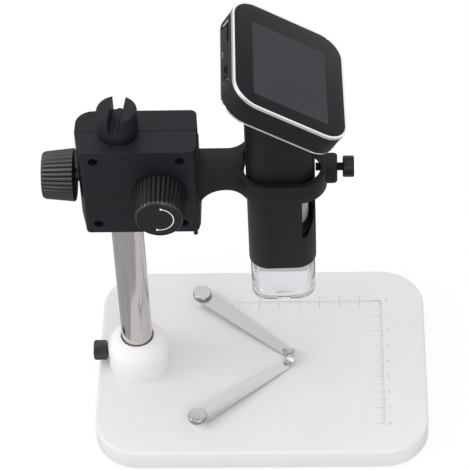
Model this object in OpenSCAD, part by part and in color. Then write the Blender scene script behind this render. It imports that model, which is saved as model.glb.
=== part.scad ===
// Hand microscope with a tilted LCD head, held upright in the ring of a focusing stand.
// Millimetres, +Z up. The origin lies under the middle of the base, on the surface it stands on.
// +X points from the pole towards the ring's thumb screw, -Y towards the focus knob's side.

/* [Base] */
// Width of the base, along X
base_w = 160.6; // [150:1:200]
// Depth of the base, along Y
base_d = 118.5; // [104:1:150]
// Height of the base's top above the table
base_h = 12; // [10:0.5:16]
// Corner radius of the base in plan
base_corner_r = 22; // [12:1:30]
// Rounding of the base's top edge
base_edge_r = 1.5; // [0.5:0.1:2]
// Thickness of the base's side wall
base_wall = 2.6; // [2:0.1:4]
// Thickness of the base's top
base_skin = 2.5; // [2:0.1:3.5]
// Thickness of the bottom plate
plate_t = 2; // [1.6:0.1:3]
// Height that the rubber feet lift the base
foot_h = 1; // [0.6:0.1:2]
// Diameter of a rubber foot
foot_d = 12; // [8:0.5:16]

/* [Pole and socket] */
// Distance from the base's centre to the pole's axis
pole_offset = 60.5; // [54:0.5:62]
// Outer diameter of the steel pole
pole_d = 15; // [12:0.1:18.4]
// Wall of the pole tube
pole_wall = 1.2; // [0.8:0.1:2]
// Length of the pole tube
pole_len = 166.4; // [160:1:220]
// Height of the pole's lower end above the table
pole_floor = 5.5; // [4.5:0.1:6]
// Wall of the socket round the pole, at its foot
socket_wall = 7.5; // [6.5:0.1:10]
// Wall of the socket at its shoulder
socket_shoulder_wall = 7.3; // [4.8:0.1:7.4]
// Height of the socket above the base
socket_h = 19.6; // [16:0.2:30]
// Rounding of the socket's shoulder
socket_round = 9; // [3:0.2:10]
// Height of the socket screw above the base
socket_screw_up = 8; // [6.5:0.1:10]
// Wall of the pole cap round the pole
cap_wall = 1.65; // [1.5:0.05:4]
// Height of the pole cap
cap_h = 13.5; // [13.4:0.1:18]
// Width of the coin slot in the cap
slot_w = 6; // [3:0.1:7]
// Depth of the coin slot
slot_depth = 8.4; // [3:0.1:8.4]

/* [Stage clips] */
// Distance of each clip post from the base's centre line, along Y
clip_post_y = 40; // [36:0.5:44]
// Distance of the clip posts from the pole's axis, along X
clip_post_reach = 30; // [27:0.5:34]
// Gap between the tips of the two clips
clip_tip_gap = 0.7; // [0.6:0.1:8]
// Distance from the post to the clip's contact bend
clip_len = 55.3; // [44:0.1:57]
// Width of the clip's eye
clip_eye_w = 9; // [8:0.1:10]
// Width of the clip at its tip
clip_tip_w = 4.9; // [4:0.1:5.6]
// Thickness of the clip's sheet
clip_t = 0.8; // [0.5:0.1:1.2]
// Diameter of the clip post's cap
clip_cap_d = 9.2; // [8:0.1:11]

/* [Height block] */
// Height of the block
block_h = 50.4; // [48:0.5:60]
// Depth of the block, along Y
block_d = 28; // [27:0.5:34]
// Thickness of the block from the pole to its left side, at the seam
block_left_wall = 12.5; // [12.4:0.1:17]
// Distance by which the left side slopes back to its front edge
block_left_slope = 3.2; // [0:0.1:4]
// Thickness of the block from the pole to its right side
block_right_wall = 27.3; // [26.9:0.1:33]
// Inset of the four block screws from the edges and from the slide groove
block_screw_inset = 5.6; // [5.4:0.1:5.8]
// Travel of the block down the pole
block_travel = 34; // [10:1:34]

/* [Knobs] */
// Diameter of a ribbed knob at its inner end
knob_d = 24.5; // [20:0.5:29]
// Diameter of a ribbed knob at its outer end
knob_end_d = 21.6; // [18:0.2:22]
// Length of the focus knob
knob_len = 16.4; // [12:0.2:20]
// Length of the clamp knob
clamp_knob_len = 15; // [12:0.1:20]
// Number of ribs round a knob
knob_ribs = 32; // [24:1:40]
// Diameter of a thumb screw's head
thumb_d = 9.8; // [8:0.1:12]
// Diameter of the thumb screws' studs
thumb_stud_d = 4; // [3:0.1:5]

/* [Focus drive] */
// Teeth of the pinion
pinion_teeth = 12; // [12:1:14]
// Module of the pinion and the rack
gear_module = 0.7; // [0.6:0.05:0.75]
// Diameter of the focus shaft
shaft_d = 5; // [4:0.1:5.2]
// Focus travel each way
focus_travel = 9; // [4:0.5:9]

/* [Arm and ring] */
// Distance from the pole's axis to the microscope's axis
reach = 72.1; // [70:0.1:86]
// Height of the ring and the arm
ring_h = 10.2; // [8:0.2:12]
// Height of the ring's underside above the block's underside
ring_up = 21; // [18:0.5:24]
// Width of the arm
arm_w = 17; // [16.6:0.2:20]
// Wall of the ring
ring_wall = 2.8; // [2:0.1:4]
// Room between the barrel and the ring, at the front and rear
ring_gap = 0.32; // [0.3:0.02:1]
// Room between the barrel and the ring, on the screw's side
ring_screw_gap = 2.6; // [1.5:0.05:4]

/* [Microscope] */
// Width of the barrel, along X
barrel_w = 31.3; // [30:0.1:38]
// Depth of the barrel, along Y
barrel_d = 29; // [28:0.1:35]
// Corner radius of the barrel
barrel_r = 9.5; // [8:0.1:11]
// Wall of the barrel
barrel_wall = 1.8; // [1.4:0.1:2.2]
// Distance from the clear tip's rim up to the ring's underside
tip_drop = 67.6; // [60:0.5:76]
// Height of the clear tip below the barrel
tip_h = 22; // [14:0.5:26]
// Wall of the clear tip
tip_wall = 1.6; // [1.2:0.1:2.2]
// Distance from the ring's underside up to the head's underside on the barrel's axis
head_up = 54.6; // [52:0.1:75]
// Diameter of the silver focus wheel
wheel_d = 24.8; // [22:0.1:25]
// Height of the silver focus wheel
wheel_h = 17.5; // [14:0.5:18]
// Distance from the wheel's lower face up to the ring's underside
wheel_down = 23.5; // [23:0.5:25]
// Travel of the lens carrier each way
lens_travel = 3; // [1:0.5:3]
// Turn of the microscope in the ring, seen from above
scope_turn = 1.7; // [-3:0.1:3]
// Travel of the microscope in the ring, upwards
scope_travel_up = 30; // [5:1:30]
// Travel of the microscope in the ring, downwards
scope_travel_down = 8; // [2:1:8]

/* [Display head] */
// Tilt of the display from level, towards +X
head_tilt = 32.5; // [20:0.5:40]
// Size of the head across the tilt
head_w = 57; // [54:0.2:69]
// Size of the head along Y
head_l = 66.5; // [66:0.5:80]
// Corner radius of the head
head_r = 12; // [10:0.5:14]
// Thickness of the head
head_t = 12; // [11.6:0.2:15]
// Offset of the head's middle from the barrel's axis, down the tilt
head_shift = -1.3; // [-3:0.1:1]
// Wall of the head's rear shell
head_wall = 1.6; // [1.2:0.1:2]
// Width of the chrome front frame beside the glass
frame_w = 0.8; // [0.6:0.1:1.6]
// Size of the screen's glass area across the tilt
screen_w = 42.7; // [40:0.1:44]
// Size of the screen along Y
screen_l = 60.3; // [56:0.1:62]
// Number of keys on the side of the head
key_count = 4; // [2:1:4]
// Distance from key to key
key_pitch = 7.5; // [6.8:0.1:8]
// Travel of a key
key_travel = 0.5; // [0.2:0.1:0.6]

/* [Hidden] */
$fn = 96;

// Colours
white_abs = [0.88, 0.88, 0.90];
black_plastic = [0.13, 0.13, 0.14];
black_rubber = [0.07, 0.07, 0.07];
steel = [0.72, 0.72, 0.72];
chrome = [0.86, 0.87, 0.88];
brass = [0.80, 0.66, 0.34];
dark_glass = [0.05, 0.05, 0.06];
screen_grey = [0.28, 0.28, 0.30];
board_green = [0.08, 0.30, 0.16];
foil_silver = [0.70, 0.70, 0.72];
clear_plastic = [0.85, 0.88, 0.90, 0.4];

// Clearances and small common sizes
eps = 0.01;
run_gap = 0.05;      // radial room of a turning or sliding fit
slide_gap = 0.2;     // room between flat sliding faces
screw_gap = 0.1;     // room round a screw's shank in a plain hole
touch_gap = 0.3;     // room between a screw's tip and what it presses on
screw_d = 3;         // shank of the larger screws
screw_head_d = 5.2;
screw_head_h = 1.1;
small_screw_d = 2;   // shank of the smaller screws
small_head_d = 3.6;
small_head_h = 1;

// Base
skin_under = base_h - base_skin;
foot_x = base_w / 2 - 15;
foot_y = base_d / 2 - 15;
foot_peg_d = 4;
plate_screw_x = base_w / 2 - 26;
plate_screw_y = base_d / 2 - 9;
boss_d = 7;
pole_x = -pole_offset;
pole_top = pole_floor + pole_len;
pole_bore_d = pole_d + 2 * run_gap;
socket_d = pole_d + 2 * socket_wall;
socket_spigot_d = pole_d + 5;
socket_screw_pcr = socket_spigot_d / 2 + screw_head_d / 2 + 0.1;
socket_shoulder_r = pole_d / 2 + socket_shoulder_wall;
socket_screw_z = base_h + socket_screw_up;
insert_d = thumb_stud_d + 2;
insert_len = 4.8;
insert_inner_x = pole_d / 2 + 1.2;
thumb_len = 6.6;
thumb_gap = 0.2;
thumb_neck_len = 2.4;
thumb_grooves = 18;
thumb_groove_r = 0.5;
clip_post_x = pole_x + clip_post_reach;
clip_seat = 2.9;     // height of the clip's eye above the base
clip_shoulder_d = 5.2;
clip_boss_d = 7.4;
clip_boss_h = clip_seat - 0.1;
clip_thread_d = 3;
clip_thread_len = 6;
clip_cap_h = 2;
clip_flat_len = 9;   // level stretch of the clip beside its post
clip_tip_run = 4.8;  // upturned tip, along the clip
clip_tip_rise = 3.5;
clip_contact_up = 0.15;
clip_tip_x = clip_len + clip_tip_run - clip_tip_w / 2;
clip_angle = asin((clip_post_y - (clip_tip_gap + clip_tip_w) / 2) / clip_tip_x);

// Pole cap and block
cap_socket = 4.2;
cap_top_edge = 0.7;
slot_rib_h = 0.5;
cap_z = pole_top - cap_socket;
block_top = cap_z - touch_gap;
block_z = block_top - block_h;
block_left = pole_d / 2 + block_left_wall;
block_right = pole_d / 2 + block_right_wall;
block_seam_edge = block_left - block_left_slope;
block_edge_r = 2;
block_rear_edge_r = 8;
block_right_edge_r = 3;
block_lid = 1.9;     // wall over the slide plate's groove at the top of the travel
bushing_wall = 2;
bushing_d = pole_d + 2 * bushing_wall;
bushing_end = 2;     // block wall over each end of the bushing
pole_clear_d = pole_d + 0.8;
counterbore_d = 4.4;
counterbore_depth = 4;
block_screw_len = 20;

// Clamp knob, on the block's left side
clamp_z = block_z + 23.6;
clamp_stud_d = 6;
clamp_nut_w = 10;
clamp_nut_len = 5;
clamp_nut_x = pole_x - block_left + 2.6;
clamp_knob_gap = 1.2;
clamp_knob_x = pole_x - block_left - clamp_knob_gap;
clamp_pad_x = pole_x - pole_d / 2 - touch_gap;
clamp_pad_len = 2.2;
knob_face_chamfer = 0.6;
knob_groove_r = 0.55;
knob_end_wall = 3.4;
clamp_bore = clamp_knob_len - knob_end_wall;
focus_bore = knob_len - knob_end_wall;

// Focus drive: the pinion's axis lies along Y
focus_z = block_z + 25;
pitch_r = gear_module * pinion_teeth / 2;
tip_r = pitch_r + gear_module;
root_r = pitch_r - 1.25 * gear_module;
tooth_pitch = PI * gear_module;
backlash = 0.16;
pressure_angle = 20;
rack_addendum = 0.62 * gear_module;
rack_dedendum = 1.25 * gear_module;
rack_body = 2.6;
rack_w = 6;
pinion_w = 8;
side_x = pole_x + block_right;
slide_sink = 1.5;    // depth of the groove that the slide plate runs in
plate_x = side_x + slide_gap - slide_sink;
slide_plate_t = 1.7;
slide_outer_x = plate_x + slide_plate_t;
slide_plate_w = 20;
slide_plate_h = block_h - block_lid - focus_travel - 0.5;
slide_neck_w = 8.4;
slide_head_w = 15;
slide_neck_len = 4.7;
slide_head_t = 3;
slide_head_h = 16;
rack_back_x = plate_x - slide_neck_len - slide_head_t;
rack_root_x = rack_back_x - rack_body;
rack_pitch_x = rack_root_x - rack_dedendum;
rack_tip_x = rack_pitch_x - rack_addendum;
focus_x = rack_pitch_x - pitch_r;
rack_h = 24;
focus_knob_gap = 0.4;
focus_knob_y = -block_d / 2 - focus_knob_gap;
knob_disc_d = knob_end_d - 1.8;
knob_disc_t = 0.5;
shaft_bush_d = shaft_d + 3;
front_bush_len = 6;
rear_bush_y = 7;
rear_bush_len = 5;
arm_screw_y = 6.3;
arm_screw_d = 2.4;
arm_screw_head_d = 4;
arm_screw_len = 9;
rack_screw_up = 2.5 * tooth_pitch;
stop_pin_d = 2;
stop_pin_x = side_x - 2;
stop_pin_y = -block_d / 2 + 2.2;
stop_pin_down = 3.4;
stop_pin_hold = 8;

// Ring, arm and microscope
scope_x = pole_x + reach;
ring_z = block_z + ring_up;
ring_top = ring_z + ring_h;
ring_left_gap = 0.85;
turned_half_w = barrel_r + (barrel_w / 2 - barrel_r) * cos(scope_turn)
  + (barrel_d / 2 - barrel_r) * abs(sin(scope_turn));
turned_half_d = barrel_r + (barrel_d / 2 - barrel_r) * cos(scope_turn)
  + (barrel_w / 2 - barrel_r) * abs(sin(scope_turn));
ring_hole_w = 2 * turned_half_w + ring_left_gap + ring_screw_gap;
ring_hole_d = 2 * turned_half_d + 2 * ring_gap;
ring_x = scope_x + (ring_screw_gap - ring_left_gap) / 2;
ring_hole_r = barrel_r + 1.3;
ring_right_x = ring_x + ring_hole_w / 2 + ring_wall;
ring_outer_r = ring_hole_r + ring_wall;
ring_corner_x = ring_x - ring_hole_w / 2 - ring_wall + ring_outer_r;
ring_corner_y = ring_hole_d / 2 + ring_wall - ring_outer_r;
arm_flare_r = 9.3;
arm_screw_z = [ring_z + 2.6, ring_top - 2.6];
gusset_run = 12;
gusset_drop = 8.6;
boss_w = 9.4;
boss_out = 4.7;
boss_r = 2;
ring_screw_z = ring_z + 0.59 * ring_h;
ring_thumb_len = 5.2;
ring_knob_x = ring_right_x + boss_out + thumb_neck_len;
scope_z = ring_z - tip_drop;
barrel_z = scope_z + tip_h;
head_z = ring_z + head_up;
barrel_in_w = barrel_w - 2 * barrel_wall;
barrel_in_d = barrel_d - 2 * barrel_wall;
barrel_in_r = barrel_r - barrel_wall;
tip_inset = 0.6;
tip_outer_w = barrel_w - 2 * tip_inset;
tip_outer_d = barrel_d - 2 * tip_inset;
tip_outer_r = barrel_r - tip_inset;
tip_spigot_h = 2.8;
tip_spigot_wall = 1.3;
tip_rim_h = 3.6;
tip_rim_wall = 2.6;
tip_notch_w = 5.5;
tip_notch_h = 0.9;
lamp_board_t = 1.2;
lamp_board_z = barrel_z + tip_spigot_h + 0.1;
lamp_hole_r = 6.5;
lamp_pcr = 9.4;
lamp_count = 8;
lamp_size = 2.4;
lamp_h = 1.2;
wheel_z = ring_z - wheel_down;
wheel_top = wheel_z + wheel_h;
retainer_t = 2;
retainer_gap = 0.2;
carrier_d = 16;
carrier_bore = 11;
carrier_z = lamp_board_z + lamp_board_t + lens_travel + 1;
carrier_top = wheel_top + 3;
ear_z = carrier_z + 1;
ear_h = 2.5;
guide_x = -6.6;
guide_y = 8;
guide_d = 1.5;
lens_r = carrier_bore / 2;
sensor_z = wheel_top + 14;
sensor_w = 24;
sensor_d = 22;
board_t = 1.2;
ledge_t = 1.5;
battery_z = sensor_z + 4;
battery_h = 30;
battery_w = 10;
battery_d = 20;
shell_screw_x = barrel_in_w / 2 - 2.6;
shell_screw_z = [barrel_z + 15, ring_top + 7];
shell_boss_r = 2.2;
shell_screw_sink = 0.15 + barrel_r
  - sqrt(max(0, barrel_r ^ 2 - (shell_screw_x + small_head_d / 2 - barrel_w / 2 + barrel_r) ^ 2));
shell_screw_len = 16;
shell_pad_r = 2.6;
neck_boss_y = barrel_in_d / 2 - 2.8;
neck_boss_r = 3.2;
neck_boss_len = 9;
window_left = 9.3;
window_low = wheel_down + 3;
window_right_low = wheel_down - 5;

// Head, in its own frame: x down the tilt, y along the world's Y, z out of the screen
trim_h = 0.8;
trim_inset = 1.6;
trim_edge = -0.4;
frame_h = 2.3;
frame_ledge = head_wall;
frame_proud = 0.2;
rear_floor = 1.6;
frame_z = head_t - frame_h;
glass_t = 1;
glass_z = head_t - glass_t;
lcd_t = 2.2;
board_w = head_w - 7.4;
board_l = head_l - 8;
board_z = rear_floor + 1;
post_d = 4;
board_post_x = board_w / 2 - 5;
board_post_y = board_l / 2 - 5;
wall_x = head_w / 2;
wall_y = head_l / 2;
usb_y = -11.2;
usb_w = 7.5;
usb_h = 2.6;
usb_len = 5.5;
card_y = 12.4;
card_up = 3.5;       // from the board up to the middle of the card's mouth
card_w = 13;
card_h = 4.6;
card_len = 14;
card_mouth_w = 11.5;
card_mouth_h = 1.2;
port_gap = 0.3;
key_w = 5;
key_h = 2.6;
key_r = 1;
key_z = board_z + board_t + 0.9;
key_gap = 0.12;
key_proud = 0.7;
key_flange = 0.7;
key_flange_t = 0.8;
switch_body = 3;
switch_l = 4.5;
switch_h = 1.7;
wire_hole_w = 14;
wire_hole_l = 10;
strap_angle = 154;   // place of the strap bar round the rear left corner
strap_bar = 1;
strap_slot = 1.4;
strap_len = 7;
strap_low = 2.2;
strap_h = 5.6;
strap_wall = 1.4;

// ---------- Shapes that several pieces share ----------

module rrect(w, d, r) {
  square([w - 2 * r, d], center = true);
  square([w, d - 2 * r], center = true);
  for (sx = [-1, 1], sy = [-1, 1])
    translate([sx * (w / 2 - r), sy * (d / 2 - r)]) circle(r);
}

module plate(w, d, h, r) {
  linear_extrude(h) rrect(w, d, r);
}

// Slab with a rounded top edge: straight bars and one turned corner piece at each corner
module soft_slab(w, d, h, r, edge) {
  bar = function (half) [[0, 0], [half, 0], [half, h - edge],
    for (a = [10:10:90]) [half - edge + edge * cos(a), h - edge + edge * sin(a)], [0, h]];
  for (sx = [-1, 1], sy = [-1, 1])
    translate([sx * (w / 2 - r), sy * (d / 2 - r), 0]) rotate_extrude() polygon(bar(r));
  for (turn = [0, 180]) {
    rotate([90, 0, turn]) translate([0, 0, r - d / 2])
      linear_extrude(d - 2 * r) polygon(bar(w / 2));
    rotate([90, 0, turn + 90]) translate([0, 0, r - w / 2])
      linear_extrude(w - 2 * r) polygon(bar(d / 2));
  }
}

module tube(outer_d, inner_d, h) {
  linear_extrude(h) difference() {
    circle(d = outer_d);
    circle(d = inner_d);
  }
}

// Points an axis that runs up Z along +X or along -Y instead
module along_x() {
  rotate([0, 90, 0]) children();
}

module along_minus_y() {
  rotate([90, 0, 0]) children();
}

// Screw whose head sits on z = 0 and whose shank goes down
module screw(d, len, head_d, head_h) {
  translate([0, 0, -len]) cylinder(d = d, h = len);
  difference() {
    cylinder(d = head_d, h = head_h);
    translate([0, 0, head_h / 2]) cylinder(d = d * 0.55, h = head_h, $fn = 6);
  }
}

// Head of a thumb screw, from z = 0 up, with grooves down its side
module thumb_head(len, bore_depth, grooves) {
  edge = 0.5;
  difference() {
    union() {
      cylinder(d1 = thumb_d - 2 * edge, d2 = thumb_d, h = edge);
      translate([0, 0, edge]) cylinder(d = thumb_d, h = len - 2 * edge);
      translate([0, 0, len - edge]) cylinder(d1 = thumb_d, d2 = thumb_d - 2 * edge, h = edge);
    }
    if (grooves > 0) for (i = [1:grooves]) rotate(i * 360 / grooves)
      translate([thumb_d / 2 + 0.1, 0, edge + 0.2])
        cylinder(r = thumb_groove_r, h = len - 2 * edge - 0.4);
    translate([0, 0, -eps]) cylinder(d = thumb_stud_d, h = bore_depth + eps);
  }
}

// Tapered ribbed knob: the wide end at z = 0, the flat face at z = len
module ribbed_knob(len, bore_d, bore_depth) {
  lean = atan((knob_d - knob_end_d) / 2 / len);
  difference() {
    union() {
      cylinder(d1 = knob_d, d2 = knob_end_d, h = len - knob_face_chamfer);
      translate([0, 0, len - knob_face_chamfer])
        cylinder(d1 = knob_end_d, d2 = knob_end_d - 2 * knob_face_chamfer, h = knob_face_chamfer);
    }
    for (i = [1:knob_ribs]) rotate(i * 360 / knob_ribs)
      translate([knob_d / 2 + knob_groove_r / 2, 0, -1]) rotate([0, -lean, 0])
        cylinder(r = knob_groove_r, h = len - 1, $fn = 16);
    translate([0, 0, -eps]) cylinder(d = bore_d, h = bore_depth + eps);
    translate([0, 0, len - knob_disc_t]) cylinder(d = knob_disc_d, h = knob_disc_t + eps);
  }
}

// Outline with its corners rounded: each radius belongs to the point at the same place in the list
function unit(v) = v / norm(v);
function fillet(before, corner, after, r) =
  let (a = unit(before - corner), b = unit(after - corner),
       half = acos(a * b) / 2, reach_to = r / tan(half),
       centre = corner + unit(a + b) * r / sin(half),
       from = corner + a * reach_to - centre, to = corner + b * reach_to - centre,
       start = atan2(from[1], from[0]), raw = atan2(to[1], to[0]) - start,
       sweep = raw > 180 ? raw - 360 : raw < -180 ? raw + 360 : raw,
       steps = ceil(abs(sweep) / 12))
  [for (i = [0:steps]) centre + r * [cos(start + sweep * i / steps), sin(start + sweep * i / steps)]];
function rounded(points, radii) =
  let (n = len(points))
  [for (i = [0:n - 1]) each radii[i] == 0 ? [points[i]]
    : fillet(points[(i + n - 1) % n], points[i], points[(i + 1) % n], radii[i])];

// ---------- Base ----------

module at_feet() {
  children();
  for (sx = [-1, 1], sy = [-1, 1]) translate([sx * foot_x, sy * foot_y, 0]) children();
}

module at_plate_screws() {
  for (sx = [-1, 1], sy = [-1, 1]) translate([sx * plate_screw_x, sy * plate_screw_y, 0]) children();
}

module at_socket_screws() {
  for (a = [30, 150, 270]) translate([pole_x, 0, 0]) rotate(a) translate([socket_screw_pcr, 0, 0]) children();
}

module at_clip_posts() {
  for (sy = [-1, 1]) translate([clip_post_x, sy * clip_post_y, 0]) children();
}

module base_shell() {
  color(white_abs) difference() {
    union() {
      translate([0, 0, foot_h])
        soft_slab(base_w, base_d, base_h - foot_h, base_corner_r, base_edge_r);
      at_clip_posts() translate([0, 0, base_h - 1]) cylinder(d = clip_boss_d, h = clip_boss_h + 1);
    }
    difference() {
      translate([0, 0, foot_h - eps])
        plate(base_w - 2 * base_wall, base_d - 2 * base_wall, skin_under - foot_h + eps,
              base_corner_r - base_wall);
      translate([0, 0, foot_h + plate_t]) {
        at_plate_screws() cylinder(d = boss_d, h = base_h);
        at_clip_posts() cylinder(d = boss_d, h = base_h);
      }
    }
    at_plate_screws() cylinder(d = screw_d, h = skin_under);
    at_clip_posts() translate([0, 0, base_h - clip_thread_len]) cylinder(d = clip_thread_d, h = base_h);
    translate([pole_x, 0, 0]) cylinder(d = socket_spigot_d, h = 2 * base_h);
    at_socket_screws() cylinder(d = screw_d, h = 2 * base_h);
  }
}

module base_plate() {
  color(black_plastic) difference() {
    translate([0, 0, foot_h])
      plate(base_w - 2 * base_wall - slide_gap, base_d - 2 * base_wall - slide_gap, plate_t,
            base_corner_r - base_wall - slide_gap / 2);
    at_feet() cylinder(d = foot_peg_d, h = base_h);
    at_plate_screws() cylinder(d = screw_d + 2 * screw_gap, h = base_h);
    at_plate_screws() cylinder(d = screw_head_d + 0.4, h = foot_h + screw_head_h + 0.1);
  }
}

module base_screws() {
  color(steel) {
    at_plate_screws() translate([0, 0, foot_h + screw_head_h + 0.1])
      rotate([180, 0, 0]) screw(screw_d, 7, screw_head_d, screw_head_h);
    at_socket_screws() translate([0, 0, skin_under])
      rotate([180, 0, 0]) screw(screw_d, 7, screw_head_d, screw_head_h);
  }
}

module rubber_feet() {
  color(black_rubber) at_feet() {
    cylinder(d = foot_d, h = foot_h);
    cylinder(d = foot_peg_d, h = foot_h + plate_t);
  }
}

// Bell with a spigot through the base's top; the pole stands on its closed floor
module pole_socket() {
  spigot_z = pole_floor - 1.5;
  shoulder = [for (a = [0:10:90]) [socket_shoulder_r - socket_round + socket_round * cos(a),
                                   base_h + socket_h - socket_round + socket_round * sin(a)]];
  color(white_abs) difference() {
    translate([pole_x, 0, 0]) rotate_extrude() polygon(concat(
      [[0, spigot_z], [socket_spigot_d / 2, spigot_z], [socket_spigot_d / 2, base_h],
       [socket_d / 2, base_h]],
      shoulder, [[0, base_h + socket_h]]));
    translate([pole_x, 0, pole_floor]) cylinder(d = pole_bore_d, h = base_h + socket_h);
    translate([pole_x, 0, socket_screw_z]) rotate([0, -90, 0]) cylinder(d = insert_d, h = socket_d);
    at_socket_screws() cylinder(d = screw_d, h = skin_under + 7);
  }
}

module socket_insert() {
  color(brass) translate([pole_x - insert_inner_x - insert_len, 0, socket_screw_z])
    along_x() tube(insert_d, thumb_stud_d + 2 * run_gap, insert_len);
}

module clip_posts() {
  color(chrome) at_clip_posts() translate([0, 0, base_h]) {
    translate([0, 0, -clip_thread_len]) cylinder(d = clip_thread_d, h = clip_thread_len + clip_seat);
    translate([0, 0, clip_boss_h]) cylinder(d = clip_shoulder_d, h = clip_seat - clip_boss_h + clip_t + 0.2);
    translate([0, 0, clip_seat + clip_t + 0.2]) {
      cylinder(d = clip_cap_d, h = clip_cap_h - 0.4);
      translate([0, 0, clip_cap_h - 0.4]) cylinder(d1 = clip_cap_d, d2 = clip_cap_d - 0.8, h = 0.4);
    }
  }
}

// Flat spring along +X from its post: eye, level stretch, slope to the contact bend, upturned tip
module clip() {
  low = [[-clip_eye_w, clip_seat], [clip_flat_len, clip_seat], [clip_len, clip_contact_up],
         [clip_len + clip_tip_run, clip_contact_up + clip_tip_rise]];
  high = [for (i = [3:-1:0]) low[i] + [0, clip_t]];
  translate([0, 0, base_h]) difference() {
    intersection() {
      rotate([90, 0, 0]) translate([0, 0, -clip_eye_w]) linear_extrude(2 * clip_eye_w)
        polygon(concat(low, high));
      linear_extrude(base_h) {
        circle(d = clip_eye_w);
        translate([clip_tip_x, 0]) circle(d = clip_tip_w);
        polygon([[0, -clip_eye_w / 2], [clip_tip_x, -clip_tip_w / 2],
                 [clip_tip_x, clip_tip_w / 2], [0, clip_eye_w / 2]]);
      }
    }
    cylinder(d = clip_shoulder_d + 2 * run_gap, h = base_h);
  }
}

module front_clip() {
  color(steel) translate([clip_post_x, -clip_post_y, 0]) rotate(clip_angle) clip();
}

module rear_clip() {
  color(steel) translate([clip_post_x, clip_post_y, 0]) rotate(-clip_angle) clip();
}

// ---------- Pole ----------

module pole_tube() {
  color(steel) translate([pole_x, 0, pole_floor]) tube(pole_d, pole_d - 2 * pole_wall, pole_len);
}

module pole_cap() {
  cap_d = pole_d + 2 * cap_wall;
  color(black_plastic) translate([pole_x, 0, cap_z]) difference() {
    union() {
      cylinder(d = cap_d, h = cap_h - cap_top_edge);
      translate([0, 0, cap_h - cap_top_edge])
        cylinder(d1 = cap_d, d2 = cap_d - 2 * cap_top_edge, h = cap_top_edge);
    }
    translate([0, 0, -eps]) cylinder(d = pole_d, h = cap_socket + eps);
    difference() {
      translate([-slot_w / 2, -cap_d, cap_h - slot_depth]) cube([slot_w, 2 * cap_d, slot_depth + 1]);
      translate([-slot_w / 6, -cap_d, 0]) cube([slot_w / 3, 2 * cap_d, cap_h - slot_depth + slot_rib_h]);
    }
  }
}

module socket_screw_knob() {
  color(black_rubber) translate([pole_x - socket_d / 2 - thumb_gap, 0, socket_screw_z]) rotate([0, -90, 0])
    thumb_head(thumb_len, thumb_len - 2, thumb_grooves);
}

module socket_screw_stud() {
  inner = pole_d / 2 + touch_gap;
  color(steel) translate([pole_x - inner, 0, socket_screw_z]) rotate([0, -90, 0])
    cylinder(d = thumb_stud_d, h = socket_d / 2 + thumb_gap + thumb_len - 2 - inner);
}

// ---------- Height block ----------

module at_block_screws() {
  for (x = [pole_x - block_seam_edge + block_screw_inset, side_x - slide_sink - block_screw_inset],
       z = [block_z + block_screw_inset, block_top - block_screw_inset])
    translate([x, 0, z]) along_minus_y() children();
}

// Everything that both halves leave room for
module block_room() {
  travel_room = focus_travel + 0.5;
  head_room = slide_head_h / 2 + travel_room;
  rack_room = rack_h / 2 + travel_room;
  translate([pole_x, 0, block_z - 1]) cylinder(d = pole_clear_d, h = block_h + 2);
  translate([pole_x, 0, block_z + bushing_end]) cylinder(d = bushing_d, h = block_h - 2 * bushing_end);
  translate([pole_x - block_left - 1, 0, clamp_z]) along_x()
    cylinder(d = clamp_stud_d + 0.6, h = block_left + 1);
  translate([clamp_nut_x, 0, clamp_z]) along_x()
    cylinder(d = clamp_nut_w / cos(30), h = clamp_nut_len, $fn = 6);
  translate([plate_x - slide_gap, -slide_plate_w / 2 - slide_gap, block_z - 1])
    cube([slide_sink + 1, slide_plate_w + 2 * slide_gap, slide_plate_h + travel_room + 1]);
  translate([plate_x - slide_neck_len - slide_gap, -slide_neck_w / 2 - slide_gap, focus_z - head_room])
    cube([slide_neck_len + 2, slide_neck_w + 2 * slide_gap, 2 * head_room]);
  translate([rack_back_x - slide_gap, -slide_head_w / 2 - slide_gap, focus_z - head_room])
    cube([slide_head_t + 2 * slide_gap, slide_head_w + 2 * slide_gap, 2 * head_room]);
  translate([rack_tip_x - slide_gap, -rack_w / 2 - slide_gap, focus_z - rack_room])
    cube([rack_back_x - rack_tip_x + slide_gap + eps, rack_w + 2 * slide_gap, 2 * rack_room]);
  translate([focus_x, pinion_w / 2 + slide_gap, focus_z]) along_minus_y()
    cylinder(r = tip_r + 0.4, h = pinion_w + 2 * slide_gap);
  translate([focus_x, rear_bush_y + rear_bush_len, focus_z]) along_minus_y()
    cylinder(d = shaft_d + 0.6, h = block_d);
  translate([focus_x, rear_bush_y + rear_bush_len, focus_z]) along_minus_y()
    cylinder(d = shaft_bush_d, h = rear_bush_len);
  translate([focus_x, front_bush_len - block_d / 2, focus_z]) along_minus_y()
    cylinder(d = shaft_bush_d, h = front_bush_len + 1);
  at_block_screws() translate([0, 0, -block_screw_len / 2]) cylinder(d = screw_d, h = block_screw_len);
  at_block_screws() translate([0, 0, block_d / 2 - counterbore_depth])
    cylinder(d = counterbore_d, h = counterbore_depth + 1);
  at_block_screws() cylinder(d = screw_d + 2 * screw_gap, h = block_d / 2);
  translate([stop_pin_x, stop_pin_y, block_z - 1]) cylinder(d = stop_pin_d, h = stop_pin_hold + 1);
}

// Outline of one half, seen from above, from the seam at y = 0 towards +y
function half_outline(edge_right, edge_left, left) = rounded(
  [[-block_left, 0], [block_right, 0], [block_right, block_d / 2], [-left, block_d / 2]],
  [0, 0, edge_right, edge_left]);

module block_front_cover() {
  color(black_plastic) difference() {
    translate([pole_x, 0, block_z]) mirror([0, 1, 0]) linear_extrude(block_h)
      polygon(half_outline(block_right_edge_r, block_edge_r, block_seam_edge));
    block_room();
  }
}

module block_rear_housing() {
  color(black_plastic) difference() {
    translate([pole_x, 0, block_z]) linear_extrude(block_h)
      polygon(half_outline(block_right_edge_r, block_rear_edge_r, block_left));
    block_room();
  }
}

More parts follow.
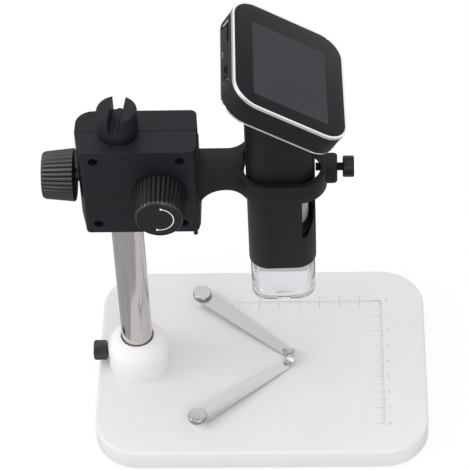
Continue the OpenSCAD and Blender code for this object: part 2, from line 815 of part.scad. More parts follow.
module block_screws() {
  color(steel) at_block_screws() translate([0, 0, block_d / 2 - counterbore_depth])
    screw(screw_d, block_screw_len, counterbore_d - 0.2, 2);
}

module pole_bushing() {
  color(black_rubber) difference() {
    translate([pole_x, 0, block_z + bushing_end])
      tube(bushing_d, pole_bore_d, block_h - 2 * bushing_end);
    translate([pole_x - bushing_d, 0, clamp_z]) along_x() cylinder(d = clamp_stud_d + 0.6, h = bushing_d);
  }
}

module clamp_nut() {
  color(brass) translate([clamp_nut_x, 0, clamp_z]) along_x() difference() {
    cylinder(d = clamp_nut_w / cos(30), h = clamp_nut_len, $fn = 6);
    translate([0, 0, -1]) cylinder(d = clamp_stud_d + 2 * run_gap, h = clamp_nut_len + 2);
  }
}

module shaft_bushings() {
  color(brass) {
    translate([focus_x, front_bush_len - block_d / 2, focus_z]) along_minus_y()
      tube(shaft_bush_d, shaft_d + 2 * run_gap, front_bush_len);
    translate([focus_x, rear_bush_y + rear_bush_len, focus_z]) along_minus_y()
      tube(shaft_bush_d, shaft_d + 2 * run_gap, rear_bush_len);
  }
}

module slide_stop_pin() {
  color(steel) translate([stop_pin_x, stop_pin_y, block_z - stop_pin_down])
    cylinder(d = stop_pin_d, h = stop_pin_hold + stop_pin_down);
}

// ---------- Clamp knob ----------

module clamp_knob() {
  color(black_plastic) translate([clamp_knob_x, 0, clamp_z]) rotate([0, -90, 0])
    ribbed_knob(clamp_knob_len, clamp_stud_d, clamp_bore);
}

module clamp_stud() {
  tail = clamp_pad_x - clamp_pad_len - clamp_knob_x;
  color(steel) translate([clamp_knob_x - clamp_bore, 0, clamp_z]) along_x()
    cylinder(d = clamp_stud_d, h = clamp_bore + tail);
}

module clamp_pad() {
  color(brass) translate([clamp_pad_x - clamp_pad_len, 0, clamp_z]) along_x()
    cylinder(d1 = clamp_stud_d, d2 = clamp_stud_d - 1, h = clamp_pad_len);
}

// ---------- Focus knob, shaft and pinion ----------

module focus_knob() {
  color(black_plastic) translate([focus_x, focus_knob_y, focus_z]) along_minus_y()
    ribbed_knob(knob_len, shaft_d, focus_bore);
}

module focus_knob_disc() {
  color(black_rubber) translate([focus_x, focus_knob_y - knob_len + knob_disc_t, focus_z])
    along_minus_y() cylinder(d = knob_disc_d, h = knob_disc_t);
}

module focus_shaft() {
  tail = rear_bush_y + rear_bush_len - 0.5;
  color(steel) translate([focus_x, tail, focus_z]) along_minus_y()
    cylinder(d = shaft_d, h = tail - focus_knob_y + focus_bore);
}

// Involute flank: the angle at radius r from the middle of a tooth
function involute(a) = tan(a) * 180 / PI - a;
function flank_angle(r) =
  let (base_r = pitch_r * cos(pressure_angle), at = acos(min(1, base_r / r)))
  (tooth_pitch / 2 - backlash) / (2 * pitch_r) * 180 / PI + involute(pressure_angle) - involute(at);
function tooth_side(sign) =
  let (base_r = pitch_r * cos(pressure_angle), low = max(root_r, base_r))
  [for (i = [0:4]) let (r = low + (tip_r - low) * i / 4, a = sign * flank_angle(r)) r * [cos(a), sin(a)]];
function tooth() =
  let (up = tooth_side(-1), down = tooth_side(1), a = flank_angle(pitch_r * cos(pressure_angle)))
  concat([0.9 * root_r * [cos(a), -sin(a)]], up, [for (i = [4:-1:0]) down[i]],
         [0.9 * root_r * [cos(a), sin(a)]]);

module focus_pinion() {
  color(brass) translate([focus_x, pinion_w / 2, focus_z]) along_minus_y()
    linear_extrude(pinion_w) difference() {
      union() {
        circle(root_r);
        for (i = [1:pinion_teeth]) rotate(i * 360 / pinion_teeth) polygon(tooth());
      }
      circle(d = shaft_d);
    }
}

// ---------- Slide, rack, arm and ring ----------

module at_arm_screws() {
  for (sy = [-1, 1], z = arm_screw_z)
    translate([plate_x, sy * arm_screw_y, z]) along_x() children();
}

module at_rack_screws() {
  for (s = [-1, 1]) translate([rack_root_x + 1.3, 0, focus_z + s * rack_screw_up])
    rotate([0, -90, 0]) children();
}

module slide_plate() {
  color(black_plastic) difference() {
    union() {
      translate([plate_x, -slide_plate_w / 2, block_z]) cube([slide_plate_t, slide_plate_w, slide_plate_h]);
      translate([plate_x - slide_neck_len, -slide_neck_w / 2, focus_z - slide_head_h / 2])
        cube([slide_neck_len + eps, slide_neck_w, slide_head_h]);
      translate([rack_back_x, -slide_head_w / 2, focus_z - slide_head_h / 2])
        cube([slide_head_t, slide_head_w, slide_head_h]);
    }
    at_arm_screws() {
      cylinder(d = arm_screw_d + 2 * screw_gap, h = slide_plate_t + 1);
      translate([0, 0, -1]) cylinder(d = arm_screw_head_d + 0.1, h = 2);
    }
    at_rack_screws() translate([0, 0, -4]) cylinder(d = small_screw_d, h = 4);
  }
}

// Strip of straight teeth that face the pinion; a gap stands level with the pinion's axis
module focus_rack() {
  slope = tan(pressure_angle);
  half = (tooth_pitch / 2 - backlash) / 2;
  count = floor(rack_h / tooth_pitch / 2);
  color(brass) difference() {
    translate([0, rack_w / 2, 0]) along_minus_y() linear_extrude(rack_w) {
      translate([rack_root_x, focus_z - rack_h / 2]) square([rack_body, rack_h]);
      for (i = [-count:count - 1]) translate([rack_pitch_x, focus_z + (i + 0.5) * tooth_pitch]) polygon([
        [rack_dedendum + eps, half + rack_dedendum * slope], [-rack_addendum, half - rack_addendum * slope],
        [-rack_addendum, rack_addendum * slope - half],
        [rack_dedendum + eps, -half - rack_dedendum * slope]]);
    }
    at_rack_screws() {
      translate([0, 0, -rack_body]) cylinder(d = small_screw_d + 2 * screw_gap, h = 2 * rack_body);
      cylinder(d = small_head_d + 0.1, h = 2 * rack_body);
    }
  }
}

module slide_screws() {
  color(steel) {
    at_rack_screws() screw(small_screw_d, 4, small_head_d, small_head_h);
    at_arm_screws() translate([0, 0, 1]) rotate([180, 0, 0])
      screw(arm_screw_d, arm_screw_len, arm_screw_head_d, 0.9);
  }
}

// Loop round the barrel, seen from above
module ring_outline() {
  translate([ring_x, 0])
    rrect(ring_hole_w + 2 * ring_wall, ring_hole_d + 2 * ring_wall, ring_outer_r);
}

// Arm whose sides flare into the ring's rounded corners
module arm_outline() {
  half = arm_w / 2;
  flare_y = half + arm_flare_r;
  apart = ring_outer_r + arm_flare_r;
  flare_x = ring_corner_x - sqrt(pow(apart, 2) - pow(flare_y - ring_corner_y, 2));
  sweep = atan2(ring_corner_x - flare_x, flare_y - ring_corner_y);
  side = [for (i = [0:8]) let (a = sweep * i / 8)
    [flare_x + arm_flare_r * sin(a), flare_y - arm_flare_r * cos(a)]];
  upper = concat([[slide_outer_x, half]], side, [[ring_corner_x, half]]);
  polygon(concat(upper, [for (i = [len(upper) - 1:-1:0]) [upper[i][0], -upper[i][1]]]));
}

module arm_ring() {
  gusset_r = (gusset_run * gusset_run + gusset_drop * gusset_drop) / (2 * gusset_drop);
  color(black_plastic) difference() {
    union() {
      translate([0, 0, ring_z]) linear_extrude(ring_h) {
        ring_outline();
        arm_outline();
        translate([ring_right_x - 1 + boss_out / 2, 0]) rrect(boss_out + 2, boss_w, boss_r);
      }
      translate([0, arm_w / 2, 0]) along_minus_y() linear_extrude(arm_w) difference() {
        translate([slide_outer_x, ring_z - gusset_drop]) square([gusset_run, gusset_drop + eps]);
        translate([slide_outer_x + gusset_run, ring_z - gusset_r]) circle(gusset_r);
      }
    }
    translate([ring_x, 0, ring_z - 1]) plate(ring_hole_w, ring_hole_d, ring_h + 2, ring_hole_r);
    translate([ring_x, 0, ring_screw_z]) along_x() cylinder(d = insert_d, h = ring_hole_w);
    at_arm_screws() cylinder(d = arm_screw_d, h = arm_screw_len + 1);
  }
}

module ring_insert() {
  color(brass) translate([ring_right_x + boss_out - insert_len, 0, ring_screw_z]) along_x()
    tube(insert_d, thumb_stud_d + 2 * run_gap, insert_len);
}

module ring_screw_knob() {
  color(black_plastic) translate([ring_knob_x, 0, ring_screw_z]) along_x()
    thumb_head(ring_thumb_len, ring_thumb_len - 1.5, 0);
}

module ring_screw_stud() {
  inner = scope_x + barrel_w / 2 / cos(scope_turn) + thumb_stud_d / 2 * tan(abs(scope_turn))
    + touch_gap;
  color(black_rubber) translate([inner, 0, ring_screw_z]) along_x()
    cylinder(d = thumb_stud_d, h = ring_knob_x + ring_thumb_len - 1.5 - inner);
}

// ---------- Barrel ----------

module in_scope(z) {
  translate([scope_x, 0, z]) rotate(scope_turn) children();
}

module in_head() {
  in_scope(head_z) rotate([0, head_tilt, 0]) translate([head_shift, 0, 0]) children();
}

module above_head_plane() {
  in_head() translate([-head_w, -head_l, 0]) cube([2 * head_w, 2 * head_l, head_w]);
}

module at_neck_screws() {
  in_head() for (s = [-1, 1]) translate([0, s * neck_boss_y, 0]) children();
}

module at_shell_screws() {
  for (sx = [-1, 1], z = shell_screw_z) in_scope(z) translate([sx * shell_screw_x, 0, 0]) children();
}

// The hollow barrel before it is split in two: walls, ledges, screw posts and the wheel's window
module barrel_body() {
  difference() {
    in_scope(barrel_z) plate(barrel_w, barrel_d, head_z - barrel_z + barrel_w, barrel_r);
    difference() {
      in_scope(barrel_z - 1)
        plate(barrel_in_w, barrel_in_d, head_z - barrel_z + barrel_w, barrel_in_r);
      in_scope(sensor_z - ledge_t) difference() {
        plate(barrel_w, barrel_d, ledge_t, barrel_r);
        translate([0, 0, -1]) plate(sensor_w - 4, sensor_d - 4, ledge_t + 2, 4);
      }
      at_shell_screws() translate([0, barrel_d / 2, 0]) along_minus_y() {
        cylinder(r = shell_boss_r, h = barrel_d);
        cylinder(r = shell_pad_r, h = shell_screw_sink + small_head_h + 1);
      }
      at_neck_screws() translate([0, 0, -neck_boss_len]) cylinder(r = neck_boss_r, h = neck_boss_len);
    }
    above_head_plane();
    at_neck_screws() translate([0, 0, -6]) cylinder(d = small_screw_d, h = 8);
    at_shell_screws() translate([0, barrel_d / 2 + 1, 0]) along_minus_y() {
      cylinder(d = small_screw_d, h = 1 + shell_screw_sink + small_head_h + shell_screw_len + 1);
      cylinder(d = small_head_d + 0.1, h = 1 + shell_screw_sink + small_head_h);
    }
    wheel_window();
  }
}

// Opening at the front right corner, through which a thumb turns the wheel, and the shallow
// recess that carries it round the right side
module wheel_window() {
  side = barrel_w / 2;
  in_scope(ring_z) along_minus_y() {
    translate([0, 0, 1]) linear_extrude(barrel_d)
      polygon([[window_left, -1], [window_left, -window_low], [window_left + 2, -window_low],
               [side - 1, -window_right_low], [barrel_w, -window_right_low], [barrel_w, -1]]);
    translate([0, 0, -barrel_d / 2 - 1]) linear_extrude(barrel_d / 2 + 3)
      polygon([[side - 1.3, 0.4], [side + 1, 0.4], [side + 1, -8.4], [side - 0.1, -5.6]]);
  }
}

module barrel_front_shell() {
  color(black_plastic) intersection() {
    barrel_body();
    in_scope(0) translate([-barrel_w, -barrel_d, 0]) cube([2 * barrel_w, barrel_d, 2 * head_z]);
  }
}

module barrel_rear_shell() {
  color(black_plastic) intersection() {
    barrel_body();
    in_scope(0) translate([-barrel_w, 0, 0]) cube([2 * barrel_w, barrel_d, 2 * head_z]);
  }
}

module housing_screws() {
  color(steel) {
    at_shell_screws() translate([0, barrel_d / 2 - shell_screw_sink - small_head_h, 0])
      rotate([-90, 0, 0]) screw(small_screw_d, shell_screw_len, small_head_d, small_head_h);
    at_neck_screws() translate([0, 0, rear_floor]) screw(small_screw_d, 7, small_head_d, small_head_h);
    in_head() for (sx = [-1, 1], sy = [-1, 1])
      translate([sx * board_post_x, sy * board_post_y, board_z + board_t])
        screw(small_screw_d, 3, small_head_d, small_head_h);
  }
}

// Open clear cup with a thick rim, a notch at the front and a spigot into the barrel
module clear_tip() {
  spigot_w = barrel_in_w - 0.1;
  spigot_d = barrel_in_d - 0.1;
  spigot_r = barrel_in_r - 0.05;
  color(clear_plastic) in_scope(scope_z) difference() {
    union() {
      plate(tip_outer_w, tip_outer_d, tip_h, tip_outer_r);
      plate(spigot_w, spigot_d, tip_h + tip_spigot_h, spigot_r);
    }
    translate([0, 0, -1]) plate(tip_outer_w - 2 * tip_rim_wall, tip_outer_d - 2 * tip_rim_wall,
                                2 * tip_h, tip_outer_r - tip_rim_wall);
    translate([0, 0, tip_rim_h]) plate(tip_outer_w - 2 * tip_wall, tip_outer_d - 2 * tip_wall,
                                       tip_h - tip_rim_h - 1, tip_outer_r - tip_wall);
    translate([0, 0, tip_h - 2]) plate(spigot_w - 2 * tip_spigot_wall, spigot_d - 2 * tip_spigot_wall,
                                       tip_spigot_h + 3, spigot_r - tip_spigot_wall);
    translate([-tip_notch_w / 2, -tip_outer_d, -1]) cube([tip_notch_w, tip_outer_d, tip_notch_h + 1]);
  }
}

module lamp_board() {
  color(board_green) in_scope(lamp_board_z) difference() {
    plate(barrel_in_w - 0.4, barrel_in_d - 0.4, lamp_board_t, barrel_in_r - 0.2);
    translate([0, 0, -1]) cylinder(r = lamp_hole_r, h = lamp_board_t + 2);
    translate([guide_x, guide_y, -1]) cylinder(d = guide_d, h = lamp_board_t + 2);
  }
}

module lamp_leds() {
  color("white") in_scope(lamp_board_z - lamp_h) for (i = [1:lamp_count])
    rotate((i + 0.5) * 360 / lamp_count) translate([lamp_pcr - lamp_size / 2, -lamp_size / 2, 0])
      cube([lamp_size, lamp_size, lamp_h]);
}

module wheel_retainers() {
  color(black_plastic) for (z = [wheel_z - retainer_gap - retainer_t, wheel_top + retainer_gap])
    in_scope(z) difference() {
      plate(barrel_in_w, barrel_in_d, retainer_t, barrel_in_r);
      translate([0, 0, -1]) cylinder(d = carrier_d + 0.6, h = retainer_t + 2);
      translate([guide_x, guide_y, -1]) cylinder(d = guide_d, h = z < wheel_z ? retainer_t + 2 : 0.5);
    }
}

module carrier_guide_pin() {
  color(steel) in_scope(lamp_board_z) translate([guide_x, guide_y, 0])
    cylinder(d = guide_d, h = wheel_z - retainer_gap - lamp_board_z);
}

module sensor_board() {
  color(board_green) in_scope(sensor_z) {
    plate(sensor_w, sensor_d, board_t, 3);
    translate([-4, -4, -1.4]) cube([8, 8, 1.4 + eps]);
  }
}

module battery() {
  color(foil_silver) in_scope(battery_z) plate(battery_w, battery_d, battery_h, 1.5);
}

// ---------- Display head ----------

module head_plate(z, h, grow) {
  translate([0, 0, z]) plate(head_w + 2 * grow, head_l + 2 * grow, h, head_r + grow);
}

// Places things along the tangent at the strap bar's place on the rounded corner
module at_strap() {
  translate([head_r - wall_x, wall_y - head_r, 0]) rotate(strap_angle) children();
}

module at_keys() {
  for (i = [0:key_count - 1])
    translate([(i - (key_count - 1) / 2) * key_pitch, 0, key_z]) children();
}

module head_rear_shell() {
  bar_in = head_r - strap_bar;
  color(black_plastic) in_head() difference() {
    union() {
      head_plate(0, trim_h, -trim_inset);
      head_plate(trim_h, frame_z - trim_h, 0);
    }
    difference() {
      head_plate(rear_floor, head_t, -head_wall);
      at_strap() translate([bar_in - strap_slot - strap_wall, -head_r, 0])
        cube([2 * head_r, 2 * head_r, head_t]);
      for (sx = [-1, 1], sy = [-1, 1])
        translate([sx * board_post_x, sy * board_post_y, 0]) cylinder(d = post_d, h = board_z);
    }
    at_strap() translate([bar_in - strap_slot, -head_r, strap_low])
      cube([strap_slot, 2 * head_r, strap_h]);
    for (sx = [-1, 1], sy = [-1, 1])
      translate([sx * board_post_x, sy * board_post_y, board_z - 2.2]) cylinder(d = small_screw_d, h = 4);
    translate([0, 0, -1]) plate(wire_hole_w, wire_hole_l, rear_floor + 2, 2);
    for (s = [-1, 1]) translate([0, s * neck_boss_y, -1])
      cylinder(d = small_screw_d + 2 * screw_gap, h = rear_floor + 2);
    translate([-wall_x, usb_y, board_z + board_t + usb_h / 2]) along_x() translate([0, 0, -1])
      plate(usb_h + 2 * port_gap, usb_w + 2 * port_gap, head_wall + 2, 1.2);
    translate([-wall_x, card_y, board_z + board_t + card_up]) along_x() translate([0, 0, -1])
      plate(card_mouth_h, card_mouth_w, head_wall + 2, 0.5);
    at_keys() translate([0, wall_y + 1, 0]) along_minus_y()
      plate(key_w, key_h, head_wall + 2, key_r);
  }
}

module head_rear_trim() {
  color(chrome) in_head() difference() {
    head_plate(0, trim_h, trim_edge);
    head_plate(-1, trim_h + 2, -trim_inset);
  }
}

module head_front_frame() {
  color(chrome) in_head() difference() {
    head_plate(frame_z, frame_h, frame_proud);
    head_plate(frame_z - 1, frame_h + 2, -frame_ledge);
    head_plate(glass_z, glass_t + 1, -frame_w);
  }
}

module front_glass() {
  color(dark_glass) in_head() head_plate(glass_z, glass_t, -frame_w);
}

module lcd_panel() {
  color(screen_grey) in_head() translate([0, 0, glass_z - lcd_t]) plate(screen_w, screen_l, lcd_t, 0.8);
}

module main_board() {
  color(board_green) in_head() difference() {
    translate([0, 0, board_z]) plate(board_w, board_l, board_t, 10);
    for (sx = [-1, 1], sy = [-1, 1])
      translate([sx * board_post_x, sy * board_post_y, 0])
        cylinder(d = small_screw_d + 2 * screw_gap, h = head_t);
    for (s = [-1, 1]) translate([0, s * neck_boss_y, 0]) cylinder(d = small_head_d + 0.4, h = head_t);
  }
}

module usb_port() {
  wall = 0.3;
  color(steel) in_head() translate([-wall_x + 0.4, usb_y, board_z + board_t + usb_h / 2]) along_x()
    difference() {
      plate(usb_h, usb_w, usb_len, 0.9);
      translate([0, 0, -1]) plate(usb_h - 2 * wall, usb_w - 2 * wall, usb_len, 0.6);
    }
}

module card_slot() {
  color(steel) in_head() difference() {
    translate([-wall_x + head_wall + 0.2, card_y - card_w / 2, board_z + board_t])
      cube([card_len, card_w, card_h]);
    translate([-wall_x, card_y - card_mouth_w / 2, board_z + board_t + card_up - card_mouth_h / 2])
      cube([card_len, card_mouth_w, card_mouth_h]);
  }
}

module tact_switches() {
  color(foil_silver) in_head() at_keys()
    translate([-switch_l / 2, board_l / 2 - switch_body + 0.6, board_z + board_t - key_z])
      cube([switch_l, switch_body, switch_h]);
}

// One key: cap through the wall, flange behind it; the switch stops it inside
module side_key(index) {
  along = (index - (key_count - 1) / 2) * key_pitch;
  color(black_plastic) in_head() translate([along, 0, key_z]) {
    translate([0, wall_y + key_proud, 0]) along_minus_y()
      plate(key_w - 2 * key_gap, key_h - 2 * key_gap, key_proud + head_wall + 0.1, key_r - key_gap);
    translate([0, wall_y - head_wall - 0.1, 0]) along_minus_y()
      plate(key_w + 2 * key_flange, key_h + key_flange, key_flange_t, key_r);
  }
}

module side_key_1() {
  side_key(0);
}

module side_key_2() {
  side_key(1);
}

module side_key_3() {
  side_key(2);
}

module side_key_4() {
  side_key(3);
}

// ---------- Wheel and lenses ----------

module focus_wheel() {
  color(chrome) in_scope(wheel_z) tube(wheel_d, carrier_d + 2 * run_gap, wheel_h);
}

module lens_carrier() {
  color(black_plastic) difference() {
    union() {
      in_scope(carrier_z) cylinder(d = carrier_d, h = carrier_top - carrier_z);
      in_scope(ear_z) linear_extrude(ear_h) {
        translate([guide_x, guide_y]) circle(d = guide_d + 2.4);
        rotate(atan2(guide_y, guide_x)) translate([0, -1.6]) square([norm([guide_x, guide_y]), 3.2]);
      }
    }
    in_scope(carrier_z - 1) cylinder(d = carrier_bore, h = carrier_top);
    in_scope(ear_z - 1) translate([guide_x, guide_y, 0]) cylinder(d = guide_d + 2 * run_gap, h = ear_h + 2);
  }
}

// Two bulged lenses in the carrier
module lens_glass() {
  bulge_r = 12;
  half_edge = 1;
  color(clear_plastic) for (up = [2.5, 12]) in_scope(carrier_z + up) intersection() {
    cylinder(r = lens_r, h = 6, center = true);
    translate([0, 0, bulge_r - half_edge - 0.7]) sphere(bulge_r);
    translate([0, 0, half_edge + 0.7 - bulge_r]) sphere(bulge_r);
  }
}

base_shell();
base_plate();
base_screws();
rubber_feet();
pole_socket();
socket_insert();
clip_posts();
front_clip();
rear_clip();
pole_tube();
pole_cap();
socket_screw_knob();
socket_screw_stud();
block_front_cover();
block_rear_housing();
block_screws();
pole_bushing();
clamp_nut();
shaft_bushings();
slide_stop_pin();
clamp_knob();
clamp_stud();
clamp_pad();
focus_knob();
focus_knob_disc();
focus_shaft();
focus_pinion();
slide_plate();
focus_rack();
slide_screws();
arm_ring();
ring_insert();
ring_screw_knob();
ring_screw_stud();
barrel_front_shell();
barrel_rear_shell();
housing_screws();
clear_tip();
lamp_board();
lamp_leds();
wheel_retainers();
carrier_guide_pin();
sensor_board();
battery();
head_rear_shell();
head_rear_trim();
head_front_frame();
front_glass();
lcd_panel();
main_board();
usb_port();
card_slot();
tact_switches();
focus_wheel();
lens_carrier();
lens_glass();
side_key_1();
side_key_2();
side_key_3();
side_key_4();
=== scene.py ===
# %% [markdown]
# # A hand microscope on its focusing stand
# The object is a small digital microscope with a colour screen on top. It stands upright in
# the ring of a focusing stand: a white base, a steel pole, a black height block with two
# ribbed knobs, and an arm. This lesson loads the measured model as a fixed frame and dresses
# it. Shapes that the eye reads closely are modelled again with softer edges, and every part
# gets a finish made of shader nodes.

# %% Load the frame
import math

import bpy
from mathutils import Matrix, Vector


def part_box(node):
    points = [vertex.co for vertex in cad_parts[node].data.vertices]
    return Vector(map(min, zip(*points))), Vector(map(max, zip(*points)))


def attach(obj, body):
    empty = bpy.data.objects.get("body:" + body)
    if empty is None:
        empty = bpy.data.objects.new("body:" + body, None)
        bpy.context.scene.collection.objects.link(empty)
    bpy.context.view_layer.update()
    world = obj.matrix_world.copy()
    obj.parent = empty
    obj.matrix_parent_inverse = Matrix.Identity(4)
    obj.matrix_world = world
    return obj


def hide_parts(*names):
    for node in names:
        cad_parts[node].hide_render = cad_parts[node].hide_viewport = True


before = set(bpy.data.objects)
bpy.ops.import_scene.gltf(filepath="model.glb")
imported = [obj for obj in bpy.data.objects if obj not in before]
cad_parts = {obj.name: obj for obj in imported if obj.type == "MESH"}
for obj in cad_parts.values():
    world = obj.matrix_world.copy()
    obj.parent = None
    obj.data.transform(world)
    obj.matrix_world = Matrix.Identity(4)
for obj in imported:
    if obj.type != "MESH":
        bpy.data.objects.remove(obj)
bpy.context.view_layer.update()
mm = 0.001
near = 0.01 * mm  # a point this close to a plane counts as lying in it

# %% [markdown]
# ## Camera
# The camera looks from above and in front, about 46 degrees down, with a long lens so that
# upright edges stay almost parallel. A long lens far away is chosen over a wide lens close
# by, because product shots are made that way.

# %% Camera
bpy.ops.object.camera_add(
    location=(0.0333, -0.8072, 0.9318),
    rotation=(math.radians(44.1477), math.radians(1.9657), math.radians(1.0779)),
)
camera = bpy.context.object
camera.data.lens = 190.3
camera.data.sensor_width = 36
camera.data.clip_end = 20
bpy.context.scene.camera = camera
print("camera:", round(camera.data.lens, 1), "mm lens,",
      round(camera.location.length, 2), "m from the origin")

# %% [markdown]
# ## Small hands
# Each new piece starts as a primitive and is shaped in edit mode. Operators act on all that
# is selected, so these helpers first deselect everything, and then pick faces or edges by
# their place and direction.


# %% Helpers for adding and picking
def begin():
    """Leave edit mode and deselect everything."""
    if bpy.context.object and bpy.context.object.mode != "OBJECT":
        bpy.ops.object.mode_set(mode="OBJECT")
    bpy.ops.object.select_all(action="DESELECT")


def only(piece):
    """Make one piece the selected and active one."""
    begin()
    piece.select_set(True)
    bpy.context.view_layer.objects.active = piece


def add(kind, name, **where):
    """Add a primitive and name it."""
    begin()
    getattr(bpy.ops.mesh, "primitive_" + kind + "_add")(**where)
    piece = bpy.context.object
    piece.name = piece.data.name = name
    return piece


def settle(piece, at=(0, 0, 0), turn=(0, 0, 0)):
    """Turn and move a piece, then write its place into its mesh."""
    only(piece)
    piece.rotation_euler = [math.radians(angle) for angle in turn]
    piece.location = Vector(at) + piece.location
    bpy.ops.object.transform_apply(location=True, rotation=True, scale=True)
    return piece


def choose(piece, kind, test):
    """Enter edit mode with the faces or edges selected that pass a test."""
    only(piece)
    mesh = piece.data
    for group in (mesh.vertices, mesh.edges, mesh.polygons):
        group.foreach_set("select", [False] * len(group))
    bpy.context.tool_settings.mesh_select_mode = (False, kind == "EDGE", kind == "FACE")
    if kind == "FACE":
        for face in mesh.polygons:
            face.select = bool(test(face.center, face.normal))
    else:
        for edge in mesh.edges:
            a, b = (mesh.vertices[i].co for i in edge.vertices)
            edge.select = bool(test((a + b) / 2, (b - a).normalized()))
    bpy.ops.object.mode_set(mode="EDIT")


def round_edges(piece, width, segments, test):
    """Bevel the edges that pass a test."""
    choose(piece, "EDGE", test)
    bpy.ops.mesh.bevel(offset=width, segments=segments, affect="EDGES", clamp_overlap=True)
    begin()
    return piece


def smooth(piece, angle=35):
    """Smooth shading that keeps edges sharper than the angle."""
    only(piece)
    bpy.ops.object.shade_smooth_by_angle(angle=math.radians(angle))
    return piece


def modify(piece, kind, **settings):
    """Add a modifier and apply it."""
    only(piece)
    modifier = piece.modifiers.new(kind.lower(), kind)
    for key, value in settings.items():
        setattr(modifier, key, value)
    bpy.ops.object.modifier_apply(modifier=modifier.name)
    return piece


def cut(piece, cutter, operation="DIFFERENCE"):
    """Boolean with a second solid, which is then removed."""
    modify(piece, "BOOLEAN", object=cutter, operation=operation, solver="EXACT")
    bpy.data.objects.remove(cutter)
    return piece


def joined(pieces, name):
    """Join pieces into one and name it."""
    begin()
    for piece in pieces:
        piece.select_set(True)
    bpy.context.view_layer.objects.active = pieces[0]
    bpy.ops.object.join()
    whole = bpy.context.object
    whole.name = whole.data.name = name
    return whole


# %% [markdown]
# ## Three ways to start a shape
# A moulded slab is a cube with its upright edges rounded. A turned part, such as a cap or a
# post, is half a profile spun round an axis, as on a lathe. The measured parts with many
# pockets are started from a merged copy of their own mesh, so that they keep their pockets
# and only gain soft edges.


# %% Slab, turned part and copy
def slab(name, low, high, corner, segments=12):
    """Block between two corners with its upright edges rounded."""
    low, high = Vector(low), Vector(high)
    piece = add("cube", name, size=1, location=(low + high) / 2, scale=high - low)
    settle(piece)
    if corner:
        choose(piece, "EDGE", lambda middle, way: abs(way.z) > 0.99)
        bpy.ops.mesh.bevel(offset=corner, segments=segments, affect="EDGES")
        begin()
    return piece


def turned(name, profile, closed=False, steps=72):
    """Spin a profile of (radius, height) points round Z; a closed one makes a ring."""
    piece = add("circle", name, vertices=len(profile), fill_type="NOTHING")
    for vertex, (radius, height) in zip(piece.data.vertices, profile):
        vertex.co = (radius, 0, height)
    choose(piece, "EDGE", lambda middle, way: False)
    if not closed:
        bpy.ops.object.mode_set(mode="OBJECT")
        for edge in piece.data.edges:
            edge.select = set(edge.vertices) == {0, len(profile) - 1}
        bpy.ops.object.mode_set(mode="EDIT")
        bpy.ops.mesh.delete(type="EDGE")
    bpy.ops.mesh.select_all(action="SELECT")
    bpy.ops.mesh.spin(steps=steps, angle=2 * math.pi, center=(0, 0, 0), axis=(0, 0, 1))
    bpy.ops.mesh.select_all(action="SELECT")
    bpy.ops.mesh.remove_doubles(threshold=1e-6)
    bpy.ops.mesh.normals_make_consistent(inside=False)
    begin()
    return piece


def copy_of(node, name):
    """Merged copy of a measured part, with its flat faces joined up again."""
    piece = bpy.data.objects.new(name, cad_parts[node].data.copy())
    piece.data.name = name
    piece.data.materials.clear()
    bpy.context.scene.collection.objects.link(piece)
    choose(piece, "FACE", lambda middle, normal: True)
    bpy.ops.mesh.select_all(action="SELECT")
    bpy.ops.mesh.remove_doubles(threshold=2e-6)
    bpy.ops.mesh.dissolve_limited(angle_limit=math.radians(0.6))
    begin()
    return piece


# %% [markdown]
# ## Finishes
# Every finish is a small node graph on object coordinates, so that the grain stays on the
# part when the part moves. Noise is the only pattern. It is mapped onto a narrow range for
# the shine, onto two close tones for the colour, and onto a height for the bump.


# %% Shader helpers
from_frame = len(bpy.data.materials)
print("finishes that came with the frame:", from_frame)


def new_finish(name, color, rough, metal=0.0):
    """A material with a principled shader, and the pieces that its graph needs."""
    finish = bpy.data.materials.new(name)
    finish.use_nodes = True
    nodes = finish.node_tree.nodes
    shader = nodes["Principled BSDF"]
    shader.inputs["Base Color"].default_value = (*color, 1)
    shader.inputs["Roughness"].default_value = rough
    shader.inputs["Metallic"].default_value = metal
    return finish, shader


def grain(finish, scale, stretch=(1, 1, 1), detail=3, turn=0):
    """Noise on object coordinates, turned and then stretched; returns its value socket."""
    nodes, links = finish.node_tree.nodes, finish.node_tree.links
    place = nodes.new("ShaderNodeTexCoord")
    mapping = nodes.new("ShaderNodeMapping")
    mapping.vector_type = "TEXTURE"
    mapping.inputs["Scale"].default_value = stretch
    mapping.inputs["Rotation"].default_value = (0, 0, math.radians(turn))
    noise = nodes.new("ShaderNodeTexNoise")
    noise.inputs["Scale"].default_value = scale
    noise.inputs["Detail"].default_value = detail
    links.new(place.outputs["Object"], mapping.inputs["Vector"])
    links.new(mapping.outputs["Vector"], noise.inputs["Vector"])
    return noise.outputs["Fac"]


def spread(finish, value, low, high):
    """Map a noise value onto a narrow range, for roughness."""
    nodes, links = finish.node_tree.nodes, finish.node_tree.links
    remap = nodes.new("ShaderNodeMapRange")
    remap.inputs["From Min"].default_value = 0.3
    remap.inputs["From Max"].default_value = 0.7
    remap.inputs["To Min"].default_value = low
    remap.inputs["To Max"].default_value = high
    links.new(value, remap.inputs["Value"])
    return remap.outputs["Result"]


def tint(finish, value, dark, light):
    """Colour that drifts between two close tones."""
    nodes, links = finish.node_tree.nodes, finish.node_tree.links
    ramp = nodes.new("ShaderNodeValToRGB")
    ramp.color_ramp.elements[0].position = 0.3
    ramp.color_ramp.elements[0].color = (*dark, 1)
    ramp.color_ramp.elements[1].position = 0.7
    ramp.color_ramp.elements[1].color = (*light, 1)
    links.new(value, ramp.inputs["Fac"])
    return ramp.outputs["Color"]


def relief(finish, shader, value, depth):
    """Bump whose height is given in metres."""
    nodes, links = finish.node_tree.nodes, finish.node_tree.links
    bump = nodes.new("ShaderNodeBump")
    bump.inputs["Strength"].default_value = 1.0
    bump.inputs["Distance"].default_value = depth
    links.new(value, bump.inputs["Height"])
    links.new(bump.outputs["Normal"], shader.inputs["Normal"])


